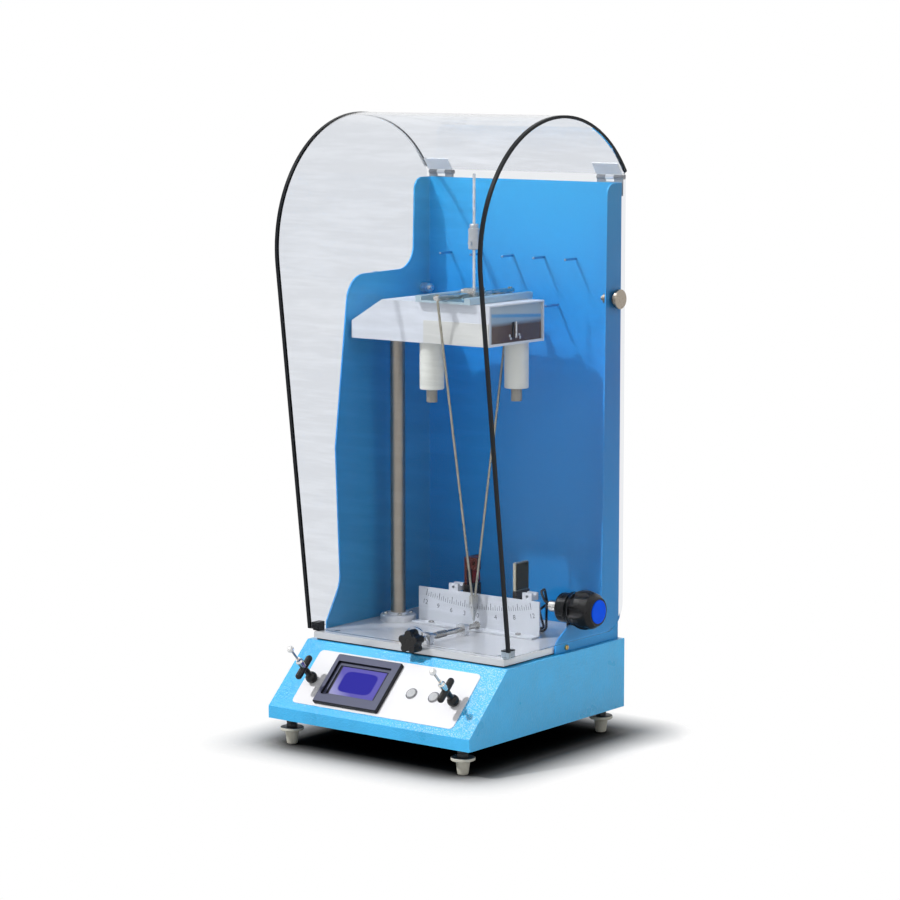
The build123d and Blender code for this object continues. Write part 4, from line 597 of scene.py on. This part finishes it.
class TESTER_OT_control_panel(Maker, bpy.types.Operator):
    """Finish the sloping control panel with its display, buttons and cable releases"""

    bl_idname = "tester.control_panel"
    bl_label = "Control panel"

    def execute(self, context):
        paint = settings("paint")
        metal = settings("metal")
        finish(moulded("Panel film", paint.panel, (0.28, 0.34), 0.004 * MM, 1.2 * MM, drift=0.008),
               "control_overlay")
        finish(self.bezel_frame(), "display_bezel")
        finish(self.lit_display(), "display_screen")
        finish(moulded("Release black", paint.black, (0.22, 0.34), 0.01 * MM), "release_grips")
        finish(bare_metal("Barrel steel", scaled(metal.steel, 1.2), (1, 1, 8), (0.16, 0.26)),
               "release_barrels")
        normal = slope_normal()
        mouth = slope_pose(*PLUNGER_MOUTH).translation.dot(normal)
        finish(two_tone("Push rod", metal.steel, ROD_TIP, tuple(normal), mouth, (0.2, 0.3), (1.0, 0.0)),
               "plunger_left", "plunger_right")
        finish(moulded("Button grey", BUTTON_GREY, (0.22, 0.32), 0.01 * MM), "button_left", "button_right")
        self.button_rings()
        return {"FINISHED"}

    def bezel_frame(self):
        """Grey on the face of the frame and black on its edges."""
        bezel = settings("paint").bezel
        material = moulded("Bezel grey", bezel, (0.40, 0.52), 0.01 * MM)
        tree = material.node_tree
        edges = math_node(tree, "SUBTRACT", 1.0, facing(tree, slope_normal()))
        recolour(material, edges, scaled(bezel, 0.08))
        return material

    def lit_display(self):
        """A backlit display: a dark border, a violet field with a painted patch of light in its lower left
        corner, and a deep blue pool in its middle.
        """
        material, tree, shader = blank("Lit display")
        low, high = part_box("display_screen")
        middle = (low + high) / 2
        rise = slope_pose(0, 0).to_3x3() @ Vector(BACK)
        across = math_node(tree, "SUBTRACT", object_axis(tree, RIGHT), middle.x)
        along = math_node(tree, "SUBTRACT", object_axis(tree, tuple(rise)), middle.dot(rise))
        # painted light: the field turns paler grey towards the lower left corner
        corner_light_patch = ranged(tree, math_node(tree, "ADD", across, along), -18 * MM, -50 * MM)
        field = mixed(tree, corner_light_patch, DISPLAY_VIOLET, DISPLAY_CORNER_LIGHT)
        pool = math_node(tree, "ADD", self.share(tree, across, 26 * MM, 5.0),
                         self.share(tree, along, 15.5 * MM, 5.0))
        field = mixed(tree, ranged(tree, pool, 1.15, 0.75), field, DISPLAY_BLUE)
        over = math_node(tree, "MAXIMUM", self.share(tree, across, 34 * MM),
                         self.share(tree, along, 20.5 * MM))
        field = mixed(tree, ranged(tree, over, 0.98, 1.02), field, DISPLAY_BORDER)
        lit = mixed(tree, 0.35, field, self.cells(tree))
        lit.node.blend_type = "MULTIPLY"
        tree.links.new(lit, shader.inputs["Base Color"])
        tree.links.new(lit, shader.inputs["Emission Color"])
        shader.inputs["Emission Strength"].default_value = 0.55
        shader.inputs["Roughness"].default_value = 0.3
        shader.inputs["Specular IOR Level"].default_value = 0.15
        return material

    def share(self, tree, distance, half, power=1.0):
        """How much of the way to a border a point lies, to a power that squares the corners."""
        way = math_node(tree, "ABSOLUTE", math_node(tree, "DIVIDE", distance, half))
        return math_node(tree, "POWER", way, power)

    def cells(self, tree):
        """The display's grid of cells."""
        bricks = tree.nodes.new("ShaderNodeTexBrick")
        bricks.inputs["Scale"].default_value = 900.0
        for label, grey in (("Color1", 1.0), ("Color2", 0.94), ("Mortar", 0.7)):
            bricks.inputs[label].default_value = (grey, grey, grey, 1.0)
        tree.links.new(place_vector(tree), bricks.inputs["Vector"])
        return bricks.outputs["Color"]

    def button_rings(self):
        """A bright turned ring round each button."""
        bm = bmesh.new()
        profile = [(6.5, 0.0), (7.7, 0.0), (7.7, 0.35), (7.4, 0.9), (7.0, 1.05), (6.6, 0.8)]
        profile = [(r * MM, z * MM) for r, z in profile]
        for u in BUTTON_SPOTS:
            add_ring(bm, slope_pose(u, BUTTON_RISE, 0.95 * MM), profile)
        piece("button_rings", mesh_from(bm, "button_rings"), "base",
              bare_metal("Ring chrome", RING_GREY, rough=(0.10, 0.18)))


class TESTER_OT_shield(Maker, bpy.types.Operator):
    """Paint the rear shield and the hinge leaves"""

    bl_idname = "tester.shield"
    bl_label = "Rear shield"

    def execute(self, context):
        sheet = painted("Shield blue", settings("paint").shield, 0.6 * MM, 0.004 * MM, (0.30, 0.36),
                        coat=0.1, drift=0.006, gloss=0.25)
        self.fade(sheet)
        finish(sheet, "back_shield")
        for name, rgba, node in (("Hinge grey", HINGE_GREY, "rear_hinge_leaves"),
                                 ("Hinge pale", HINGE_PALE, "hood_hinge_leaves")):
            finish(painted(name, rgba, 0.7 * MM, 0.01 * MM, (0.35, 0.45), worn=False), node)
        return {"FINISHED"}

    def fade(self, sheet):
        """Painted shade on the blue: paler upwards and darker towards the bottom, where less light reaches,
        and each wing painted in the light that falls on it.
        """
        tree = sheet.node_tree
        low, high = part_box("back_shield")
        height = object_axis(tree, UP)
        middle = low.z + 0.6 * (high.z - low.z)
        lower = ranged(tree, height, middle, low.z)
        # painted shade: the blue is multiplied darker below the top and again towards the bottom
        recolour(sheet, ranged(tree, height, high.z, middle), SHIELD_SHADE_MIDDLE, True)
        recolour(sheet, lower, SHIELD_SHADE_BOTTOM, True)
        # painted light and shade on the wings' side faces
        wings = math_node(tree, "ADD", facing(tree, RIGHT), facing(tree, LEFT))
        right = mixed(tree, lower, RIGHT_WING_SHADE_TOP, RIGHT_WING_SHADE_BOTTOM)
        recolour(sheet, wings, mixed(tree, above(tree, RIGHT, 0.0), LEFT_WING_LIGHT, right), True)


class TESTER_OT_hood(Maker, bpy.types.Operator):
    """Finish the clear hood, its black edge trims and the side windows"""

    bl_idname = "tester.hood"
    bl_label = "Clear hood"

    def execute(self, context):
        finish(self.wiped_sheet(), "hood_sheet")
        finish(self.holed_window(), "side_windows")
        finish(self.edge_trim(), "hood_trims")
        return {"FINISHED"}

    def wiped_sheet(self):
        """Clear sheet with faint paler streaks that lie level: painted reflections."""
        tint = settings("clear").tint
        material = clear_sheet("Clear acrylic", tint)
        tree = material.node_tree
        # painted reflections: paler level streaks laid into the sheet's tint
        reflection_streaks = use(tree, "Brush lines", size=45 * MM, stretch=(0.35, 0.35, 3.0)).outputs["Height"]
        recolour(material, ranged(tree, reflection_streaks, 0.44, 0.62), scaled(tint, 1.07))
        return material

    def holed_window(self):
        """Clear sheet with painted shade in the cut edge round the handle's neck."""
        material = clear_sheet("Window acrylic", settings("clear").tint)
        tree = material.node_tree
        low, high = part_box("handle_cap")
        middle = (low + high) / 2
        sides = []
        for axis, centre in ((BACK, middle.y), (UP, middle.z)):
            off = math_node(tree, "SUBTRACT", object_axis(tree, axis), centre)
            sides.append(math_node(tree, "POWER", off, 2.0))
        radius = math_node(tree, "SQRT", math_node(tree, "ADD", *sides))
        rim = ranged(tree, radius, 20.6 * MM, 20.2 * MM)
        # painted shade: the window goes dark close round the handle's neck
        recolour(material, math_node(tree, "MULTIPLY", rim, above(tree, RIGHT, 0.0)), WINDOW_RIM_SHADE)
        return material

    def edge_trim(self):
        """Black trim, paler on the right foot, with a painted highlight on the left one's rear arc."""
        material = moulded("Edge trim", TRIM_BLACK, (0.3, 0.4), 0.004 * MM, gloss=0.12)
        tree = material.node_tree
        low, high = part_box("hood_trims")
        arc_top = (low.y + high.y) / 2
        right = above(tree, RIGHT, 0.0)
        left = math_node(tree, "SUBTRACT", 1.0, right)
        foot = ranged(tree, object_axis(tree, UP), low.z + 9.5 * MM, low.z + 9 * MM)
        rear = ranged(tree, object_axis(tree, BACK), arc_top - 10 * MM, arc_top + 40 * MM)
        recolour(material, math_node(tree, "MULTIPLY", right, foot), TRIM_FOOT)
        # painted highlight along the left trim's rear arc
        recolour(material, math_node(tree, "MULTIPLY", left, rear), TRIM_REAR_HIGHLIGHT)
        return material


class TESTER_OT_head(Maker, bpy.types.Operator):
    """Finish the column, the head, the table and the lifting guides"""

    bl_idname = "tester.head"
    bl_label = "Column and head"

    def execute(self, context):
        metal = settings("metal")
        finish(painted("Head white", settings("paint").head, 0.7 * MM, 0.02 * MM, (0.40, 0.5), coat=0.05,
                       worn=False, gloss=0.3), "head_housing", "head_floor")
        finish(painted("Cover plate", COVER_WHITE, 0.7 * MM, 0.02 * MM, (0.38, 0.5), coat=0.05, worn=False),
               "head_side_plate")
        finish(self.end_pane(), "head_end_pane")
        self.pane_fittings()
        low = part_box("guide_cylinders")[0]
        finish(two_tone("Guide enamel", GUIDE_TIP, GUIDE_WHITE, UP, low.z + 15.8 * MM, (0.34, 0.42)),
               "guide_cylinders")
        finish(bare_metal("Satin column", metal.column, (1, 1, 0.03), (0.40, 0.44), 0.001 * MM), "column")
        finish(bare_metal("Ground table", TABLE_GREY, (1, 0.05, 1), (0.34, 0.42), metallic=0.5),
               "panel_table")
        finish(bare_metal("Rail steel", RAIL_GREY, (1, 0.05, 1), (0.30, 0.38), metallic=0.5),
               "stirrup_frame")
        finish(clear_sheet("Panel glass", PANEL_GLASS, 0.01, 0.1), "test_panel")
        finish(bare_metal("Spring steel", metal.steel), "lift_springs", "lift_rods")
        return {"FINISHED"}

    def end_pane(self):
        """The end cover: pale at its thick edge, a painted blue-grey reflection with a slanting streak
        above, and painted dark brown shade of the inside below.
        """
        material = moulded("End pane", PANE_REFLECTION_BLUE, (0.12, 0.18), 0.002 * MM)
        tree = material.node_tree
        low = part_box("head_end_pane")[0]
        height = object_axis(tree, UP)
        depth = object_axis(tree, BACK)
        streak = math_node(tree, "ADD", height, math_node(tree, "MULTIPLY", depth, 0.06))
        # painted reflection in the upper part and painted shade of the dark inside in the lower part
        for way, start, full, rgba in ((streak, low.z + 31 * MM, low.z + 33 * MM, PANE_REFLECTION_STREAK),
                                       (streak, low.z + 35 * MM, low.z + 37 * MM, PANE_REFLECTION_TOP),
                                       (height, low.z + 26 * MM, low.z + 20 * MM, PANE_SHADE_BROWN),
                                       (depth, low.y + 6.5 * MM, low.y + 6 * MM, PANE_EDGE)):
            recolour(material, ranged(tree, way, start, full), rgba)
        return material

    def pane_fittings(self):
        """A stop pin, its dark bar and small screw heads on the end cover."""
        low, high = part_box("head_end_pane")
        foot = Vector((high.x + 0.05 * MM, (low.y + high.y) / 2, low.z))
        bar = bmesh.new()
        add_box(bar, foot + Vector((0, -6.5, 4)) * MM, foot + Vector((1.2, -3, 24)) * MM)
        bmesh.ops.bevel(bar, geom=bar.edges, offset=0.3 * MM, segments=2, affect="EDGES")
        piece("head_stop_bar", mesh_from(bar, "head_stop_bar"), "base",
              moulded("Bar black", settings("paint").black))
        bright = bmesh.new()
        axis = 0.01 * MM
        screw = [(axis, 0.0), (1.6 * MM + axis, 0.0), (1.6 * MM + axis, 0.7 * MM),
                 (1.2 * MM + axis, 1.1 * MM), (axis, 1.2 * MM)]
        for y, z in ((-11, 8), (-9, 4.5), (8, 8), (10, 4.5)):
            spot = Matrix.Translation(foot + Vector((0, y, z)) * MM)
            add_ring(bright, spot @ Matrix.Rotation(math.radians(90), 4, "Y"), screw, 20)
        pin = [(axis, 0.0), (1.3 * MM, 0.0), (1.3 * MM, 19 * MM), (1.0 * MM, 19.5 * MM), (axis, 19.5 * MM)]
        add_ring(bright, Matrix.Translation(foot + Vector((1.3, 0.5, 5)) * MM), pin, 20)
        bmesh.ops.remove_doubles(bright, verts=bright.verts, dist=0.05 * MM)
        bmesh.ops.delete(bright, geom=[edge for edge in bright.edges if edge.is_wire], context="EDGES")
        piece("head_stop_pin", mesh_from(bright, "head_stop_pin"), "base",
              bare_metal("Pin steel", PIN_GREY, metallic=0.6))


class TESTER_OT_pendulum(Maker, bpy.types.Operator):
    """Finish the pendulum with its balls, rods, pointer and counterweight"""

    bl_idname = "tester.pendulum"
    bl_label = "Pendulum"

    def execute(self, context):
        metal = settings("metal")
        finish(bare_metal("Beam steel", metal.steel, (1, 0.05, 1), (0.2, 0.3)), "cross_beam")
        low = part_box("pendulum_rods")[0]
        rods = bare_metal("Drawn rod", metal.wire, (1, 1, 0.05), (0.24, 0.34))
        height = object_axis(rods.node_tree, UP)
        recolour(rods, ranged(rods.node_tree, height, low.z + 40 * MM, low.z + 22 * MM), POINTER_END)
        finish(rods, "pendulum_rods")
        finish(bare_metal("Polished rod", UPPER_ROD, (1, 1, 0.05), (0.26, 0.3), 0.0002 * MM, 0.6),
               "upper_rod")
        finish(bare_metal("Turned weight", WEIGHT_GREY, (1, 1, 0.2), (0.34, 0.4), 0.0002 * MM, 0.6),
               "counterweight")
        finish(bare_metal("Bearing ball", BALL_GREY, rough=(0.04, 0.06), depth=0.002 * MM), "fulcrum_balls")
        return {"FINISHED"}


class TESTER_OT_scale(Maker, bpy.types.Operator):
    """Finish the scale and print its marks and numbers along the pointer's arc"""

    bl_idname = "tester.scale"
    bl_label = "Scale"

    def execute(self, context):
        paint = settings("paint")
        metal = settings("metal")
        finish(painted("Scale white", scaled(paint.head, 0.88), 0.6 * MM, 0.01 * MM, (0.34, 0.42), coat=0.1,
                       worn=False), "scale_plate")
        finish(moulded("Star knob black", paint.black, (0.20, 0.32), 0.02 * MM), "star_knob")
        finish(bare_metal("Shaft steel", scaled(metal.steel, 0.85), (1, 0.05, 1), (0.2, 0.32)),
               "star_shaft")
        finish(bare_metal("Bearing aluminium", metal.deck, rough=(0.25, 0.35)), "shaft_bearings")
        self.print_marks()
        return {"FINISHED"}

    def print_marks(self):
        """Marks on the arc round the balls, long at every third degree, with the numbers below."""
        marks = settings("marks")
        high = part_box("scale_plate")[1]
        ball_low, ball_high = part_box("fulcrum_balls")
        pivot = (ball_low + ball_high) / 2
        radius = pivot.z - (high.z - SCALE_HEIGHT + MARK_RISE)
        face = SCALE_FRONT - pivot.y
        ink = moulded("Printed ink", marks.ink, (0.5, 0.6), 0.01 * MM, 0.5 * MM)
        bm = bmesh.new()
        count = round(math.degrees(marks.reach)) * marks.steps
        for k in range(-count, count + 1):
            if k % (marks.steps * 3) == 0:
                half, tall = 0.42 * MM, 8.6 * MM
            else:
                half, tall = 0.3 * MM, (6.6 if k % marks.steps == 0 else 4.4) * MM
            turn = Matrix.Translation(pivot) @ Matrix.Rotation(marks.reach * k / count, 4, "Y")
            add_box(bm, (-half, face - 0.05 * MM, -radius), (half, face + 0.05 * MM, tall - radius), turn)
        piece("scale_marks", mesh_from(bm, "scale_marks"), "scale", ink, False)
        centre = Vector((pivot.x, SCALE_FRONT, pivot.z))
        for degrees in (-12, -9, -6, -3, 0, 4, 8, 12):
            self.numeral(degrees, centre, radius + 4.0 * MM, ink)

    def numeral(self, degrees, centre, radius, ink):
        """One number, upright towards the centre of the arc."""
        text = str(abs(degrees))
        curve = bpy.data.curves.new("numeral", "FONT")
        curve.body = text
        curve.size = settings("marks").numeral
        curve.align_x = "CENTER"
        curve.align_y = "TOP"
        curve.extrude = 0.04 * MM
        draft = bpy.data.objects.new("numeral_draft", curve)
        bpy.context.scene.collection.objects.link(draft)
        bpy.context.view_layer.update()
        mesh = bpy.data.meshes.new_from_object(draft.evaluated_get(bpy.context.evaluated_depsgraph_get()))
        bpy.data.objects.remove(draft)
        turn = Matrix.Translation(centre) @ Matrix.Rotation(-math.radians(degrees), 4, "Y")
        upright = Matrix.Rotation(math.radians(90), 4, "X")
        mesh.transform(turn @ Matrix.Translation((0, 0, -radius)) @ upright)
        mesh.materials.clear()
        side = "left" if degrees < 0 else "right" if degrees > 0 else "zero"
        piece(f"scale_number_{text}_{side}", mesh, "scale", ink, False)


class TESTER_OT_gate(Maker, bpy.types.Operator):
    """Finish the light gate, its leads and the gland"""

    bl_idname = "tester.gate"
    bl_label = "Light gate"

    def execute(self, context):
        finish(moulded("Gate black", settings("paint").black), "gate_bases")
        plate = bare_metal("Gate plate", GATE_BRASS, (1, 1, 0.1), (0.2, 0.3), metallic=0.7)
        recolour(plate, above(plate.node_tree, LEFT, 0.0), GATE_RED)
        finish(plate, "gate_posts")
        finish(two_tone("Gate cover", COVER_RED, COVER_BLACK, RIGHT, 20 * MM, (0.30, 0.36),
                        depth=0.003 * MM, gloss=0.15), "gate_windows")
        finish(moulded("Lead rubber", LEAD_BLACK, (0.45, 0.6)), "handle_cables")
        finish(bare_metal("Gland nickel", scaled(settings("metal").steel, 1.2), rough=(0.12, 0.22)),
               "cable_gland")
        return {"FINISHED"}


class TESTER_OT_handle(Maker, bpy.types.Operator):
    """Finish the side handle"""

    bl_idname = "tester.handle"
    bl_label = "Side handle"

    def execute(self, context):
        paint = settings("paint")
        grip = moulded("Grip black", scaled(paint.black, 0.8), (0.26, 0.34), 0.02 * MM, 0.5 * MM, 0.2)
        finish(grip, "handle_grip", "handle_bearing")
        finish(moulded("Cap blue", paint.cap, (0.34, 0.42), 0.01 * MM, gloss=0.05), "handle_cap")
        finish(bare_metal("Spindle steel", settings("metal").steel), "handle_spindle")
        return {"FINISHED"}


class TESTER_OT_feet(Maker, bpy.types.Operator):
    """Finish the levelling feet: pale cones under dark studs"""

    bl_idname = "tester.feet"
    bl_label = "Levelling feet"

    def execute(self, context):
        foot = two_tone("Foot", settings("paint").cone, STUD_DARK, UP, FOOT_STUD, (0.4, 0.55), (0.0, 0.6))
        finish(foot, "foot_front_left", "foot_front_right", "foot_rear_left", "foot_rear_right")
        return {"FINISHED"}


class TESTER_OT_stage(Maker, bpy.types.Operator):
    """Set the floor, the lamps, the sky and the camera"""

    bl_idname = "tester.stage"
    bl_label = "Stage"

    def execute(self, context):
        self.floor()
        self.sky()
        self.lamps()
        self.cards()
        self.camera()
        context.scene.view_settings.view_transform = "Standard"
        return {"FINISHED"}

    def floor(self):
        """A matt floor near the tester, with painted contact shade under and round it, that turns into
        plain light away from it.
        """
        bm = bmesh.new()
        bmesh.ops.create_grid(bm, x_segments=1, y_segments=1, size=40.0)
        mesh = bpy.data.meshes.new("floor")
        bm.to_mesh(mesh)
        bm.free()
        thing = bpy.data.objects.new("floor", mesh)
        bpy.context.scene.collection.objects.link(thing)
        material = bpy.data.materials.new("Floor")
        material.use_nodes = True
        tree = material.node_tree
        tree.nodes.clear()
        out = tree.nodes.new("ShaderNodeOutputMaterial")
        matt = tree.nodes.new("ShaderNodeBsdfDiffuse")
        glow = tree.nodes.new("ShaderNodeEmission")
        mix = tree.nodes.new("ShaderNodeMixShader")
        # Painted contact shade: the floor's colour goes to black with ambient occlusion under and round the
        # tester
        contact_shade_ao = tree.nodes.new("ShaderNodeAmbientOcclusion")
        contact_shade_ao.samples = 12
        contact_shade_ao.inputs["Distance"].default_value = 140 * MM
        light = math_node(tree, "POWER", contact_shade_ao.outputs["AO"], 3.2)
        shade = mixed(tree, light, (0.0, 0.0, 0.0, 1.0), settings("stage").floor)
        tree.links.new(shade, matt.inputs["Color"])
        tree.links.new(math_node(tree, "MULTIPLY", self.seen(tree), self.away(tree)), mix.inputs["Fac"])
        tree.links.new(matt.outputs["BSDF"], mix.inputs[1])
        tree.links.new(glow.outputs["Emission"], mix.inputs[2])
        tree.links.new(mix.outputs["Shader"], out.inputs["Surface"])
        mesh.materials.append(material)

    def away(self, tree):
        """Rises from the edge of the tester's own shadow to the plain floor."""
        low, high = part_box("base_housing")
        half = (high - low) / 2
        middle = (high + low) / 2
        sides = []
        for axis, centre, reach in ((RIGHT, middle.x, half.x), (BACK, middle.y, half.y)):
            off = math_node(tree, "SUBTRACT", object_axis(tree, axis), centre)
            over = math_node(tree, "SUBTRACT", math_node(tree, "ABSOLUTE", off), reach)
            sides.append(math_node(tree, "POWER", math_node(tree, "MAXIMUM", over, 0.0), 2.0))
        gap = math_node(tree, "SQRT", math_node(tree, "ADD", *sides))
        return math_node(tree, "POWER", ranged(tree, gap, 8 * MM, 85 * MM), 1.3)

    def seen(self, tree):
        """1 for the rays that show the background: camera, gloss and glass."""
        path = tree.nodes.new("ShaderNodeLightPath")
        either = math_node(tree, "MAXIMUM", path.outputs["Is Camera Ray"], path.outputs["Is Glossy Ray"])
        return math_node(tree, "MAXIMUM", either, path.outputs["Is Transmission Ray"])

    def sky(self):
        """White to the rays that show it, and even light of the set strength to all others."""
        world = bpy.data.worlds.new("Studio")
        world.use_nodes = True
        bpy.context.scene.world = world
        tree = world.node_tree
        tree.nodes.clear()
        out = tree.nodes.new("ShaderNodeOutputWorld")
        back = tree.nodes.new("ShaderNodeBackground")
        back.inputs["Color"].default_value = (1, 1, 1, 1)
        strengths = ranged(tree, self.seen(tree), 0.0, 1.0, settings("stage").sky, 1.0)
        tree.links.new(strengths, back.inputs["Strength"])
        tree.links.new(back.outputs["Background"], out.inputs["Surface"])

    def lamps(self):
        """Two suns, each with its elevation, azimuth and softness in degrees."""
        stage = settings("stage")
        for name, energy, elevation, azimuth, softness in (("key", stage.key, 52, -41, 1.8),
                                                           ("fill", stage.fill, 35, 75, 40)):
            lamp = bpy.data.lights.new(name, "SUN")
            lamp.energy = energy
            lamp.angle = math.radians(softness)
            thing = bpy.data.objects.new(name, lamp)
            thing.rotation_euler = (math.radians(90 - elevation), 0, math.radians(azimuth))
            bpy.context.scene.collection.objects.link(thing)

    def cards(self):
        """Grey cards beside the camera, which only gloss sees."""
        material, tree, shader = blank("Grey card")
        shader.inputs["Base Color"].default_value = CARD_GREY
        shader.inputs["Roughness"].default_value = 0.9
        for name, spot, wide, tall in (("card_right", (3.6, -1.2, 1.2), 0.5, 2.4),
                                       ("card_left", (-1.6, -3.6, 1.0), 0.6, 2.0)):
            bm = bmesh.new()
            half = Vector((wide, 20 * MM, tall)) / 2
            add_box(bm, -half, half)
            mesh = mesh_from(bm, name)
            mesh.materials.append(material)
            thing = bpy.data.objects.new(name, mesh)
            thing.location = spot
            thing.rotation_euler = (0, 0, math.atan2(-spot[0], spot[1]))
            thing.visible_camera = False
            thing.visible_diffuse = False
            thing.visible_shadow = False
            thing.visible_transmission = False
            bpy.context.scene.collection.objects.link(thing)

    def camera(self):
        data = bpy.data.cameras.new("view")
        data.lens = settings("stage").lens
        data.sensor_width = 36.0
        data.clip_end = 200.0
        thing = bpy.data.objects.new("view", data)
        thing.location = (2.2592, -2.9303, 0.8542)
        thing.rotation_euler = (math.radians(90 - 7.66), 0, math.radians(37.59))
        bpy.context.scene.collection.objects.link(thing)
        bpy.context.scene.camera = thing


STEPS = (TESTER_OT_effects, TESTER_OT_cabinet, TESTER_OT_deck, TESTER_OT_control_panel, TESTER_OT_shield,
         TESTER_OT_hood, TESTER_OT_head, TESTER_OT_pendulum, TESTER_OT_scale, TESTER_OT_gate,
         TESTER_OT_handle, TESTER_OT_feet, TESTER_OT_stage)


class TESTER_PT_panel(bpy.types.Panel):
    """Lists the makers of the tester and their settings"""

    bl_idname = "TESTER_PT_panel"
    bl_label = "Pendulum hardness tester"
    bl_space_type = "VIEW_3D"
    bl_region_type = "UI"
    bl_category = "Tester"

    def draw(self, context):
        for name, group in SETTINGS.items():
            box = self.layout.box()
            box.label(text=name.capitalize())
            for label in group.__annotations__:
                box.prop(settings(name), label)
        for step in STEPS:
            self.layout.operator(step.bl_idname)


def register():
    for group in (*SETTINGS.values(), *STEPS, TESTER_PT_panel):
        bpy.utils.register_class(group)
    for name, group in SETTINGS.items():
        setattr(bpy.types.Scene, "tester_" + name, PointerProperty(type=group))


def unregister():
    for name in SETTINGS:
        delattr(bpy.types.Scene, "tester_" + name)
    for group in (TESTER_PT_panel, *reversed(STEPS), *reversed(SETTINGS.values())):
        bpy.utils.unregister_class(group)


def main():
    register()
    for step in STEPS:
        category, name = step.bl_idname.split(".")
        getattr(getattr(bpy.ops, category), name)()


if __name__ == "__main__":
    main()
